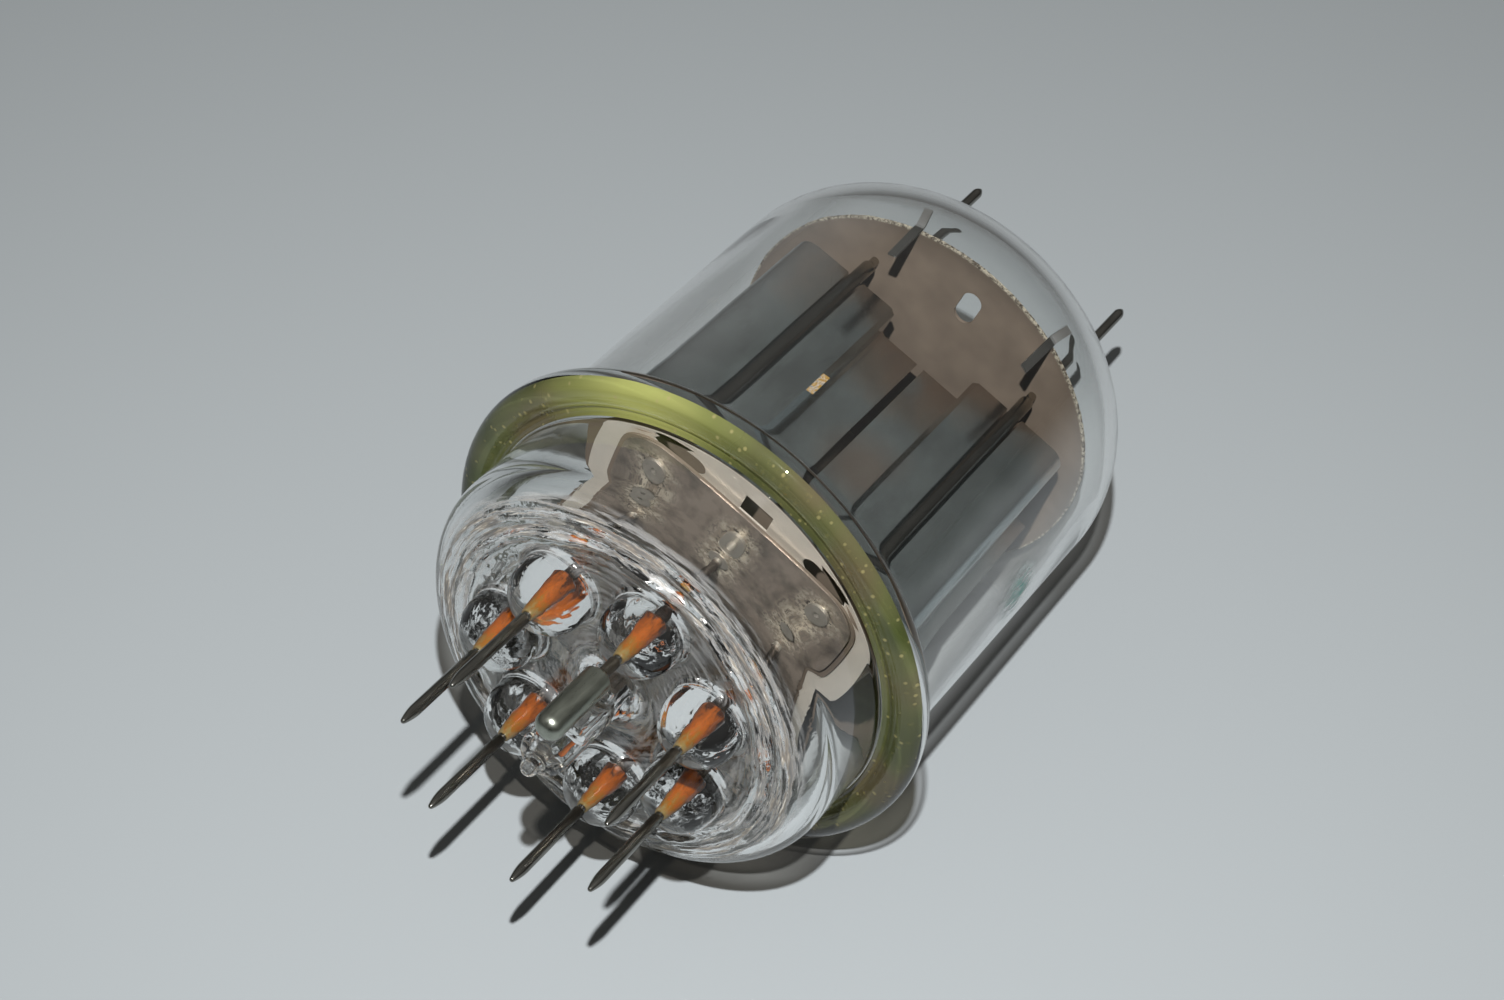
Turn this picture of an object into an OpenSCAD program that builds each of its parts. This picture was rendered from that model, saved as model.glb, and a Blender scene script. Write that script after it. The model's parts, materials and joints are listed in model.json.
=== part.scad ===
// Twin beam tetrode in a blown glass bulb, lying on its side on the flange and the shoulder.
// Every piece is drawn upright, with the base pins' tips at height zero and the index pin at -Y,
// and lay() turns the finished tube onto its side. All sizes are in millimetres.

/* [Bulb] */
// Outer diameter of the bulb
bulb_d = 51.7; // [49:0.1:54]
// Thickness of the bulb's glass
bulb_wall = 1.4; // [1.0:0.1:1.8]
// Length of the straight side, from the middle of the flange to the shoulder
side_len = 43.15; // [40:0.05:48]
// Radius of the shoulder
shoulder_r = 12.6; // [9:0.1:15]
// How far the flat cap rises above the shoulder's own circle
cap_rise = 4; // [3:0.1:6]
// Radius of the glass dome round each anode pin
anode_boss_r = 2.5; // [2:0.1:3.2]

/* [Flange] */
// How far the fused flange stands out past the bulb
flange_out = 3.35; // [2.6:0.05:4]
// Half the thickness of the flange bead
bead_r = 1.9; // [1.5:0.05:2.4]
// Radius of the hollow between the flange and the bulb
flare_r = 3; // [2:0.1:4]
// Radius of the small hollow under the flange
under_r = 0.8; // [0.5:0.1:1.1]
// Height of the sealing glass below the middle of the flange
seal_low = 0.95; // [0.6:0.05:1.1]
// Height of the sealing glass above the middle of the flange
seal_high = 0.65; // [0.4:0.05:1.1]

/* [Base dish] */
// How far the dish's side stands in from the bulb's side
dish_inset = 1.25; // [0.9:0.05:2]
// Depth of the dish, from the middle of the flange to its outer floor
dish_depth = 13.75; // [12:0.05:15]
// Thickness of the dish's glass
dish_wall = 2; // [1.5:0.1:2.5]
// Height of the dish's outer floor
floor_z = 17.5; // [16:0.1:19]
// Radius of the dish's outer corner
corner_r = 4.5; // [3:0.1:5.5]
// Radius of the ring of fused glass on the floor
ridge_r = 18.9; // [18.2:0.1:19.4]
// Half the width of that ring
ridge_w = 0.9; // [0.5:0.1:1.2]
// Radius of the glass dome round each base pin
boss_r = 4.3; // [3.6:0.1:4.8]
// How far the domes' centres stand below the floor
boss_drop = 1.6; // [1.2:0.1:2.2]

/* [Exhaust tip] */
// Length of the exhaust tip below the dish's floor
tip_len = 14.2; // [12:0.1:16]
// Radius of the bead at the sealed end
tip_ball_r = 1; // [0.7:0.05:1.3]
// Radius of the tube behind it
tip_tube_r = 2.6; // [2.2:0.1:3.2]
// Thickness of the tube's glass
tip_wall = 1.2; // [0.8:0.1:1.4]
// Radius of the hollow where the tube meets the floor
tip_flare = 3; // [1.5:0.1:4]

/* [Pins] */
// Diameter of a pin
pin_d = 1.27; // [1.0:0.01:1.5]
// Radius of a pin's rounded point
pin_tip_r = 0.3; // [0.2:0.05:0.45]
// Length of a base pin's taper
pin_tip_len = 2; // [1:0.1:2.5]
// Length of an anode pin's taper
anode_tip_len = 1.2; // [0.8:0.1:2]
// Diameter of the circle that the base pins stand on
pin_circle_d = 25.4; // [24:0.1:27]
// How far a base pin reaches past the floor's inner face
pin_inner = 2.2; // [1.5:0.1:3]
// Diameter of the wire that carries a pin through the glass
wire_d = 0.9; // [0.7:0.05:1]
// Thickness of the oxide seal at its inner end
seal_t = 0.4; // [0.3:0.05:0.6]
// Thickness of the oxide seal where the pin comes out
seal_thin = 0.15; // [0.1:0.05:0.25]
// How far the seal stops short of the glass surface
seal_inset = 0.8; // [0.5:0.1:1.2]
// Outer diameter of the index sleeve
sleeve_d = 3.1; // [2.6:0.1:3.6]
// Length of the index sleeve
sleeve_len = 9.06; // [7:0.02:10]
// Rounding of the sleeve's free end
sleeve_round = 0.6; // [0.3:0.05:0.75]
// How far the index pin stops inside the sleeve
index_inset = 0.4; // [0.2:0.1:1]
// Distance between the two anode pins
anode_pitch = 22.6; // [21:0.1:24]
// How far an anode pin stands above the top of the dome
anode_pin_len = 18; // [14:0.5:22]

/* [Lower deck] */
// How far the lowest plate's underside lies below the middle of the flange
deck_drop = 0.75; // [0:0.05:1.2]
// Half the width of the capacitor plate
plate_x = 14.2; // [13.5:0.1:15]
// Half the depth of the capacitor plate
plate_y = 16.4; // [16:0.1:16.8]
// Corner radius of the capacitor plate
plate_corner = 3.8; // [3.3:0.1:5]
// Thickness of a deck plate
plate_t = 0.4; // [0.3:0.05:0.5]
// Thickness of a mica sheet
mica_t = 0.3; // [0.2:0.05:0.5]
// Gap between the lower shield and the bulb
shield_gap = 2.4; // [1.8:0.05:2.7]
// Half the width between the shield's straight sides
shield_x = 16.8; // [16:0.1:18]
// Corner radius of the shield
shield_corner = 3; // [2:0.1:4]
// Where the shield's slots start, from the middle
vent_in = 6.2; // [5:0.1:7]
// Where the shield's slots end, from the middle
vent_out = 12.3; // [11:0.1:12.5]
// Width of the shield's slots
vent_w = 2.6; // [2:0.1:2.8]
// Width of the notches at the middle of the shield's front and back
notch_w = 3.4; // [2.5:0.1:4]
// Depth of those notches past the capacitor plate
notch_len = 2.4; // [1.5:0.1:3]
// Distance of the outer eyelets from the middle
eyelet_x = 10.4; // [10:0.1:11]
// Radius of an eyelet's head
eyelet_r = 1.3; // [1.1:0.1:1.5]
// Radius of a clearance hole round a lead or a rod
lead_hole_r = 1.1; // [0.9:0.05:1.2]

/* [Anodes] */
// Half the gap between the two anodes
anode_gap = 0.5; // [0.4:0.1:0.8]
// Distance of the step from the middle
step_x = 5.8; // [5.4:0.1:6.4]
// Gap between a beam plate and the anode's outer side
side_gap = 1.65; // [1.2:0.05:2]
// Depth of the recessed strip from the middle
strip_y = 8.7; // [8.2:0.1:9.4]
// Depth of the anode's face from the middle
face_y = 13; // [12.6:0.1:13.4]
// Thickness of the anode's sheet
anode_t = 0.4; // [0.3:0.05:0.5]
// Height of the cage's mica above the lower deck
cage_rise = 4.8; // [4.4:0.1:6]
// Height of the anode's lower edge above that mica
anode_rise = 1.3; // [0.8:0.1:2]
// How far the anode's upper edge stands below the top disc
anode_drop = 4.05; // [3.5:0.05:5]
// Radius of the rod on each anode face
rod_r = 1; // [0.85:0.05:1.3]
// How far a rod's shoulder stands under the top disc
rod_gap = 1; // [0.6:0.1:1.5]
// Bend radius of the anode's outer corner
fold_r = 1.8; // [1.2:0.1:2.4]
// Width of the seam that joins the two halves
seam_w = 1.6; // [1:0.1:2]

/* [Grids and cathode] */
// How far each unit's middle stands in from its anode pin
unit_in = 1.9; // [1.5:0.1:2.3]
// Width of a cathode
cathode_w = 6.6; // [6:0.1:7]
// Depth of a cathode
cathode_d = 2.4; // [2:0.1:2.8]
// Gap from the side of a cathode to the middle of a control grid rod
control_gap = 1.3; // [1.1:0.05:1.5]
// Gap in depth between a cathode and its control grid
control_clear = 1; // [0.8:0.05:1.2]
// Distance between a control grid rod and the screen grid rod beside it
screen_gap = 1.4; // [1.2:0.05:1.6]
// Gap in depth between a control grid and its screen grid
screen_clear = 1.3; // [1:0.05:1.6]
// Diameter of the grids' rods
grid_rod_d = 1; // [0.8:0.05:1.1]
// Thickness of a grid turn
turn_t = 0.3; // [0.2:0.05:0.4]
// Distance between grid turns
turn_pitch = 2; // [1.6:0.1:3]
// Gap in depth between a screen grid and its beam plates
beam_clear = 1.7; // [1.2:0.05:2]

/* [Top deck] */
// How far the top disc's underside stands above the end of the straight side
disc_over = 0.15; // [0:0.05:1.5]
// Gap between the top disc and the bulb
disc_gap = 1.85; // [1.4:0.05:2.5]
// Distance of the disc's slot from the middle
slot_y = 14.4; // [13.6:0.1:15]
// Length of the disc's slot
slot_len = 4.6; // [4:0.1:5.5]
// Width of the disc's slot
slot_w = 2.4; // [2:0.1:3]
// Angle of each snubber from the disc's front and back
snubber_a = 24; // [20:1:28]
// Width of a snubber's leg
snubber_w = 1; // [0.7:0.1:1.3]
// Length of a snubber's leg below the disc
snubber_len = 5.2; // [4.5:0.1:6]
// Height of a snubber's spring above the disc
snubber_rise = 2; // [1.5:0.1:2.5]
// Diameter of the rod between an anode pin and its anode
anode_lead_d = 2.6; // [2.2:0.1:3]
// Height of the bracket above the anode's upper edge
strap_rise = 0.8; // [0.5:0.1:1]
// Thickness of the bracket
strap_t = 0.8; // [0.5:0.1:1]
// Width of the bracket round the rod
strap_w = 3.4; // [3:0.1:3.6]
// Distance of the bracket's arms from the middle
arm_y = 2.4; // [2:0.1:3.5]
// Width of each arm
arm_w = 1.8; // [1.2:0.1:2.4]
// Height of the getter ring above the disc
getter_rise = 3; // [2:0.5:5]
// Radius of the getter ring
getter_r = 4; // [3:0.1:5]

/* [Hidden] */
PINS = 7;
$fn = 64;
// How far a cutting tool runs past a face
CUT = 1;

bulb_r = bulb_d / 2;
bulb_inner_r = bulb_r - bulb_wall;
bead_mid_r = bulb_r + flange_out - bead_r;
flange_z = floor_z + dish_depth;
shoulder_z = flange_z + side_len;
seal_bottom = flange_z - seal_low;
seal_top = flange_z + seal_high;
seal_low_a = asin(seal_low / bead_r);
seal_high_a = asin(seal_high / bead_r);

flare_x = bulb_r + flare_r;
flare_rise = sqrt(pow(bead_r + flare_r, 2) - pow(flare_x - bead_mid_r, 2));
flare_a = atan2(flare_rise, flare_x - bead_mid_r);

shoulder_x = bulb_r - shoulder_r;
cap_drop = (shoulder_x * shoulder_x - cap_rise * cap_rise) / (2 * cap_rise);
cap_r = shoulder_r + norm([shoulder_x, cap_drop]);
cap_z = shoulder_z - cap_drop;
cap_a = atan2(cap_drop, shoulder_x);

dish_r = bulb_r - dish_inset;
dish_inner_r = dish_r - dish_wall;
inner_floor_z = floor_z + dish_wall;
under_x = dish_r + under_r;
under_drop = sqrt(pow(bead_r + under_r, 2) - pow(bead_mid_r - under_x, 2));
under_a = atan2(under_drop, bead_mid_r - under_x);

tip_z = floor_z - tip_len;

pin_r = pin_d / 2;
wire_r = wire_d / 2;
pin_ring_r = pin_circle_d / 2;
pin_top = inner_floor_z + pin_inner;
boss_z = floor_z - boss_drop;
seal_r = wire_r + seal_t;
seal_thin_r = wire_r + seal_thin;
base_free_z = boss_z - sqrt(boss_r * boss_r - wire_r * wire_r);
seal_half = boss_r - seal_inset;
anode_x = anode_pitch / 2;
anode_top = cap_z + cap_r + anode_pin_len;
anode_boss_z = cap_z + sqrt(cap_r * cap_r - anode_x * anode_x) - bulb_wall / 2;
anode_seal_half = anode_boss_r - seal_inset;
anode_pin_low = anode_boss_z - anode_boss_r - bulb_wall;
anode_free_z = anode_boss_z + sqrt(anode_boss_r * anode_boss_r - wire_r * wire_r);
lead_taper = 1.5;

deck_z = flange_z - deck_drop;
shield_r = bulb_inner_r - shield_gap;
eyelet_y = pin_ring_r;
vent_shift = 0.3;
corner_x = shield_x - shield_corner;
corner_y = sqrt(pow(shield_r - shield_corner, 2) - corner_x * corner_x);
corner_a = atan2(corner_y, corner_x);
notch_lap = 0.4;
mica_margin = 0.5;
mica_z = deck_z + plate_t;
shield_z = mica_z + mica_t;
deck_top = shield_z + plate_t;
eyelet_head = 0.3;

disc_z = shoulder_z + disc_over;
disc_r = bulb_inner_r - disc_gap;
disc_t = plate_t;
rod_out = 0.6;
through_z = disc_z + disc_t + rod_out;
cage_z = deck_top + cage_rise;
cage_top = cage_z + mica_t;
cage_margin = 1;
anode_low = cage_top + anode_rise;
anode_high = disc_z - anode_drop;
strap_z = anode_high + strap_rise;
rod_foot = 0.4;
rod_low = cage_z - rod_foot;
rod_top = disc_z - rod_gap;
tenon_r = rod_r / 2;

unit_x = anode_x - unit_in;
control_w = cathode_w + 2 * control_gap;
control_d = cathode_d + 2 * control_clear;
screen_w = control_w + 2 * screen_gap;
screen_d = control_d + 2 * screen_clear;
turns_inset = 1;
turns_low = anode_low;
turns_high = anode_high - turns_inset;
heater_r = 0.35;
heater_x = cathode_w / 2 - 1;
heater_drop = 2;
sleeve_t = 0.4;
foot_w = 1.2;
tab_x = (cathode_w - cathode_d - foot_w) / 2;
beam_gap = 0.5;
beam_x = (screen_w + grid_rod_d) / 2 + beam_gap;
beam_y = screen_d / 2 + beam_clear;
beam_t = 0.3;
beam_lip = 1.2;
foot_y = beam_y - foot_w;
side_x = unit_x + beam_x + beam_t / 2 + side_gap + anode_t;

snubber_t = 0.25;
snubber_lean = 0.2;
snubber_lap = 0.4;
getter_t = 0.6;
getter_post_r = 0.4;

// Ribbons lie level above the deck at two heights, each under the rod or heater leg that it feeds
ribbon_t = 0.3;
ribbon_w = 0.9;
pad_r = 0.7;
leg_step = 1.8;
leg_z = deck_top + leg_step;
high_leg_z = leg_z + leg_step;
bridge_y = 3;

// The tube touches the floor with its flange and its shoulder, so its axis leans
rest_rise = shoulder_z - flange_z;
rest_in = shoulder_x - bead_mid_r;
tilt = -(atan2(rest_in, rest_rise) + asin((shoulder_r - bead_r) / norm([rest_rise, rest_in])));
lift = bead_mid_r * cos(tilt) + flange_z * sin(tilt) + bead_r;
roll = 19.5;
base_low_y = pin_tip_r * (cos(tilt) - 1)
    + min([for (k = [0:PINS - 1]) -pin_spot(k, roll)[1] * sin(tilt)]);
anode_high_y = (anode_top - pin_tip_r) * cos(tilt) + pin_tip_r + anode_x * sin(roll) * sin(tilt);
middle_y = (base_low_y + anode_high_y) / 2;

function pin_angle(k) = -90 - k * 360 / PINS;
function pin_spot(k, turn = 0) = pin_ring_r * [cos(pin_angle(k) + turn), sin(pin_angle(k) + turn)];
function arc(x, y, r, a0, a1, steps = 12) =
    [for (i = [0:steps]) let (a = a0 + (a1 - a0) * i / steps) [x + r * cos(a), y + r * sin(a)]];
function bulb_inner_at(z) = z < shoulder_z ? bulb_inner_r
    : shoulder_x + sqrt(pow(shoulder_r - bulb_wall, 2) - pow(z - shoulder_z, 2));
function left_of(a, b) = let (d = (b - a) / norm(b - a)) [-d[1], d[0]];
function mitre(path, i) =
    let (last = len(path) - 1,
         before = left_of(path[max(i - 1, 0)], path[max(i, 1)]),
         after = left_of(path[min(i, last - 1)], path[min(i + 1, last)]))
    (before + after) / (1 + before * after);
function band(path, t) = concat(
    [for (i = [0:len(path) - 1]) path[i] + mitre(path, i) * t / 2],
    [for (i = [len(path) - 1:-1:0]) path[i] - mitre(path, i) * t / 2]);

module lay() {
    translate([0, -middle_y, lift])
        rotate([-90 - tilt, 0, 0])
            rotate([0, 0, roll])
                children();
}

// A pin with a tapered point, of full width as far as the glass, and its wire beyond
module stepped_pin(taper, free, length) {
    rotate_extrude() polygon(concat(
        arc(0, pin_tip_r, pin_tip_r, -90, 0, 8),
        [[pin_r, taper], [pin_r, free], [wire_r, free], [wire_r, length], [0, length]]));
}

module stadium(width, depth) {
    square([width - depth, depth], center = true);
    for (s = [-1, 1]) translate([s * (width - depth) / 2, 0]) circle(d = depth);
}

module rounded_plate(x, y, r) {
    square([2 * (x - r), 2 * y], center = true);
    square([2 * x, 2 * (y - r)], center = true);
    for (sx = [-1, 1], sy = [-1, 1]) translate([sx * (x - r), sy * (y - r)]) circle(r = r);
}

module bulb_profile() {
    polygon(concat(
        arc(bead_mid_r, flange_z, bead_r, seal_high_a, flare_a, 8),
        arc(flare_x, flange_z + flare_rise, flare_r, 180 + flare_a, 180, 8),
        arc(shoulder_x, shoulder_z, shoulder_r, 0, cap_a),
        arc(0, cap_z, cap_r, cap_a, 90),
        arc(0, cap_z, cap_r - bulb_wall, 90, cap_a),
        arc(shoulder_x, shoulder_z, shoulder_r - bulb_wall, cap_a, 0),
        [[bulb_inner_r, seal_top]]));
}

// The seal is thick inside and thin where the pin comes out, at the lower end unless it is upside down
module seal_cone(half, upside_down = false) {
    mirror([0, 0, upside_down ? 1 : 0]) translate([0, 0, -half])
        cylinder(r1 = seal_thin_r, r2 = seal_r, h = 2 * half);
}

module seal_tube(half, upside_down = false) {
    difference() {
        seal_cone(half, upside_down);
        translate([0, 0, -half - CUT]) cylinder(r = wire_r, h = 2 * half + 2 * CUT);
    }
}

module bulb() {
    color([0.85, 0.92, 0.92, 0.3]) lay() difference() {
        union() {
            rotate_extrude() bulb_profile();
            for (s = [-1, 1]) translate([s * anode_x, 0, anode_boss_z]) sphere(r = anode_boss_r);
        }
        for (s = [-1, 1]) translate([s * anode_x, 0, anode_boss_z]) {
            translate([0, 0, -2 * anode_boss_r]) cylinder(r = wire_r, h = 4 * anode_boss_r);
            seal_cone(anode_seal_half, true);
        }
    }
}

module seal_ring() {
    color([0.6, 0.7, 0.3, 0.6]) lay() rotate_extrude()
        polygon(concat(
            [[bulb_inner_r, seal_bottom]],
            arc(bead_mid_r, flange_z, bead_r, -seal_low_a, seal_high_a, 8),
            [[bulb_inner_r, seal_top]]));
}

module dish_profile() {
    polygon(concat(
        [[0, floor_z]],
        arc(dish_r - corner_r, floor_z + corner_r, corner_r, -90, 0),
        arc(under_x, flange_z - under_drop, under_r, 180, under_a, 6),
        arc(bead_mid_r, flange_z, bead_r, 180 + under_a, 360 - seal_low_a, 8),
        [[dish_inner_r, seal_bottom]],
        arc(dish_r - corner_r, floor_z + corner_r, corner_r - dish_wall, 0, -90),
        [[0, inner_floor_z]]));
}

module tip_profile() {
    start_z = tip_z + tip_ball_r;
    neck_a = 40;
    neck_turn = 70;
    neck_r = tip_ball_r * cos(neck_a);
    round_r = tip_tube_r - neck_r;
    shoulder = start_z + tip_ball_r * sin(neck_a) + round_r;
    polygon(concat(
        arc(0, start_z, tip_ball_r, -90, neck_a, 10),
        arc(neck_r, shoulder, round_r, -neck_turn, 0, 8),
        arc(tip_tube_r + tip_flare, floor_z - tip_flare, tip_flare, 180, 90, 8),
        [[0, floor_z + dish_wall / 2]]));
}

module base_dish() {
    tip_bore_r = tip_tube_r - tip_wall;
    bore_low = tip_z + 2 * tip_ball_r + tip_tube_r + tip_bore_r;
    color([0.85, 0.92, 0.92, 0.3]) lay() difference() {
        union() {
            rotate_extrude() dish_profile();
            rotate_extrude() translate([ridge_r, floor_z]) circle(r = ridge_w);
            rotate_extrude() tip_profile();
            for (k = [0:PINS - 1]) translate([each pin_spot(k), boss_z]) sphere(r = boss_r);
        }
        translate([0, 0, bore_low]) cylinder(r = tip_bore_r, h = inner_floor_z);
        for (k = [0:PINS - 1]) translate([each pin_spot(k), boss_z]) {
            translate([0, 0, -2 * boss_r]) cylinder(r = wire_r, h = 4 * boss_r);
            seal_cone(seal_half);
        }
    }
}

module base_pin(k) {
    color([0.25, 0.25, 0.24]) lay() translate([each pin_spot(k), 0])
        stepped_pin(pin_tip_len, base_free_z, pin_top);
}

module index_pin() {
    color([0.25, 0.25, 0.24]) lay() translate([each pin_spot(0), index_inset])
        stepped_pin(pin_tip_len, base_free_z - index_inset, pin_top - index_inset);
}

module index_sleeve() {
    r = sleeve_d / 2;
    top_bevel = sleeve_round / 3;
    color([0.5, 0.53, 0.5]) lay() translate([each pin_spot(0), 0]) rotate_extrude()
        polygon(concat(
            [[pin_r, 0]],
            arc(r - sleeve_round, sleeve_round, sleeve_round, -90, 0, 6),
            [[r, sleeve_len - top_bevel], [r - top_bevel, sleeve_len], [pin_r, sleeve_len]]));
}

module pin_seals() {
    color([0.75, 0.32, 0.05]) lay() for (k = [0:PINS - 1])
        translate([each pin_spot(k), boss_z]) seal_tube(seal_half);
}

module anode_pin(side) {
    color([0.25, 0.25, 0.24]) lay() translate([side * anode_x, 0, anode_top]) mirror([0, 0, 1])
        stepped_pin(anode_tip_len, anode_top - anode_free_z, anode_top - anode_pin_low);
}

module anode_seal(side) {
    color([0.75, 0.32, 0.05]) lay() translate([side * anode_x, 0, anode_boss_z])
        seal_tube(anode_seal_half, true);
}

module anode_half(side, depth) {
    wall_x = side_x - anode_t / 2;
    face = face_y - anode_t / 2;
    groove = rod_r + anode_t / 2;
    groove_a = asin(anode_t / 2 / groove);
    path = concat(
        [[anode_gap, strip_y - anode_t / 2], [step_x, strip_y - anode_t / 2], [step_x, face]],
        arc(anode_x, face_y, groove, 180 + groove_a, 360 - groove_a),
        arc(wall_x - fold_r, face - fold_r, fold_r, 90, 0, 6),
        [[wall_x, anode_t / 2], [wall_x + seam_w, anode_t / 2]]);
    color([0.3, 0.33, 0.34]) lay() translate([0, 0, anode_low])
        linear_extrude(anode_high - anode_low)
            mirror([side < 0 ? 1 : 0, 0]) mirror([0, depth < 0 ? 1 : 0]) difference() {
                polygon(band(path, anode_t));
                translate([anode_x, face_y]) circle(r = rod_r);
            }
}

module anode_rods(side) {
    color([0.2, 0.2, 0.19]) lay() for (depth = [-1, 1])
        translate([side * anode_x, depth * face_y, 0]) rotate_extrude() polygon(concat(
            [[0, rod_low], [rod_r, rod_low]],
            arc(tenon_r, rod_top - tenon_r, rod_r - tenon_r, 0, 90, 6),
            [[tenon_r, through_z], [0, through_z]]));
}

// A forked bracket whose two feet stand on the anode's outer side
module anode_strap(side) {
    depth = 2 * (arm_y + arm_w);
    foot_x = side_x - anode_t;
    color([0.35, 0.36, 0.36]) lay() mirror([side < 0 ? 1 : 0, 0, 0]) {
        translate([anode_x, 0, strap_z]) linear_extrude(strap_t) difference() {
            square([strap_w, depth], center = true);
            circle(d = anode_lead_d);
        }
        for (s = [-1, 1]) translate([0, s * (arm_y + arm_w / 2), 0]) {
            translate([anode_x, -arm_w / 2, strap_z]) cube([side_x - anode_x, arm_w, strap_t]);
            translate([foot_x, -arm_w / 2, anode_high]) cube([anode_t, arm_w, strap_rise + strap_t]);
        }
    }
}

module anode_lead(side) {
    thin_z = anode_pin_low - lead_taper;
    color([0.4, 0.4, 0.4]) lay() translate([side * anode_x, 0, 0]) {
        translate([0, 0, strap_z]) cylinder(d = anode_lead_d, h = thin_z - strap_z);
        translate([0, 0, thin_z]) cylinder(d1 = anode_lead_d, d2 = wire_d, h = lead_taper);
    }
}

module cathode_bore() {
    stadium(cathode_w - 2 * sleeve_t, cathode_d - 2 * sleeve_t);
}

module cathode_foot() {
    translate([0, (sleeve_t - cathode_d) / 2]) square([foot_w, sleeve_t], center = true);
}

// The sleeve ends level with the anode, and a narrow tab beside the bracket reaches the disc
module cathode(side) {
    color([0.82, 0.82, 0.8]) lay() translate([side * unit_x, 0, 0]) {
        translate([0, 0, cage_top]) linear_extrude(anode_high - cage_top) difference() {
            stadium(cathode_w, cathode_d);
            cathode_bore();
        }
        translate([-side * tab_x, 0, anode_high]) linear_extrude(anode_drop) cathode_foot();
        translate([0, 0, deck_top]) linear_extrude(cage_top - deck_top) cathode_foot();
    }
}

module heater(side) {
    bend_z = anode_high - heater_drop;
    inner_low = high_leg_z - leg_z;
    leg_d = 2 * heater_r;
    color([0.9, 0.9, 0.86]) lay() translate([side * unit_x, 0, leg_z]) {
        translate([side * heater_x, 0, 0]) cylinder(r = heater_r, h = bend_z - leg_z);
        translate([-side * heater_x, 0, inner_low])
            cylinder(r = heater_r, h = bend_z - leg_z - inner_low);
        translate([-heater_x - heater_r, -heater_r, bend_z - leg_z])
            cube([2 * heater_x + leg_d, leg_d, leg_d]);
    }
}

module grid(side, width, depth) {
    count = floor((turns_high - turns_low) / turn_pitch);
    ring_w = width + grid_rod_d / 2;
    color([0.6, 0.6, 0.58]) lay() translate([side * unit_x, 0, 0]) {
        for (s = [-1, 1]) translate([s * width / 2, 0, leg_z])
            cylinder(d = grid_rod_d, h = through_z - leg_z);
        for (i = [0:count]) translate([0, 0, turns_low + i * turn_pitch])
            linear_extrude(turn_t) difference() {
                stadium(ring_w, depth);
                stadium(ring_w - 2 * turn_t, depth - 2 * turn_t);
            }
    }
}

module beam_feet() {
    for (s = [-1, 1]) translate([s * beam_x, -foot_y]) square([beam_t, foot_w], center = true);
}

module beam_plates(side) {
    path = [[beam_x - beam_lip, -beam_y], [beam_x, -beam_y], [beam_x, beam_y],
        [beam_x - beam_lip, beam_y]];
    color([0.45, 0.45, 0.43]) lay() translate([side * unit_x, 0, 0]) {
        translate([0, 0, cage_top]) linear_extrude(anode_high - cage_top)
            for (s = [0, 1]) mirror([s, 0]) polygon(band(path, beam_t));
        translate([0, 0, deck_top]) linear_extrude(cage_top - deck_top) beam_feet();
    }
}

module grid_rod_holes() {
    for (side = [-1, 1], w = [control_w, screen_w], s = [-1, 1])
        translate([side * unit_x + s * w / 2, 0]) circle(d = grid_rod_d);
}

module top_disc() {
    color([0.5, 0.46, 0.41]) lay() translate([0, 0, disc_z]) linear_extrude(disc_t) difference() {
        circle(r = disc_r);
        grid_rod_holes();
        for (s = [-1, 1]) translate([0, s * (slot_y + slot_len / 2)]) rotate(90)
            stadium(slot_len, slot_w);
        for (side = [-1, 1]) translate([side * anode_x, 0]) {
            circle(d = anode_lead_d);
            for (depth = [-1, 1]) translate([0, depth * face_y]) circle(r = tenon_r);
        }
    }
}

module snubber(side, depth) {
    a = depth * 90 - side * depth * snubber_a;
    t = snubber_t;
    reach = bulb_inner_at(disc_z + disc_t + snubber_rise) - disc_r - t;
    path = [[-snubber_lean, -snubber_len], [t / 2, 0], [t / 2, disc_t + snubber_lap],
        [reach, disc_t + snubber_rise]];
    color([0.4, 0.4, 0.38]) lay() rotate([0, 0, a]) translate([disc_r, 0, disc_z])
        rotate([90, 0, 0]) linear_extrude(snubber_w, center = true) polygon(band(path, t));
}

module getter() {
    color([0.3, 0.3, 0.3]) lay() translate([0, 0, disc_z + disc_t]) {
        translate([0, 0, getter_rise]) rotate_extrude() translate([getter_r, 0]) circle(r = getter_t);
        for (s = [-1, 1]) translate([0, s * getter_r, 0]) cylinder(r = getter_post_r, h = getter_rise);
    }
}

module cage_mica() {
    color([0.6, 0.55, 0.45]) lay() translate([0, 0, cage_z]) linear_extrude(mica_t) difference() {
        rounded_plate(side_x, face_y + rod_r + cage_margin, plate_corner);
        grid_rod_holes();
        for (side = [-1, 1]) {
            translate([side * unit_x, 0]) {
                cathode_bore();
                cathode_foot();
                beam_feet();
            }
            for (depth = [-1, 1]) translate([side * anode_x, depth * face_y]) circle(r = rod_r);
        }
    }
}

module shield_outline() {
    a = corner_a;
    polygon(concat(
        arc(corner_x, corner_y, shield_corner, 0, a, 6),
        arc(0, 0, shield_r, a, 180 - a, 24),
        arc(-corner_x, corner_y, shield_corner, 180 - a, 180, 6),
        arc(-corner_x, -corner_y, shield_corner, 180, 180 + a, 6),
        arc(0, 0, shield_r, 180 + a, 360 - a, 24),
        arc(corner_x, -corner_y, shield_corner, 360 - a, 360, 6)));
}

module deck_holes() {
    for (k = [1:PINS - 1]) translate(pin_spot(k)) circle(r = lead_hole_r);
    for (sx = [-1, 0, 1], sy = [-1, 1]) translate([sx * eyelet_x, sy * eyelet_y])
        circle(r = eyelet_r / 2);
}

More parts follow.
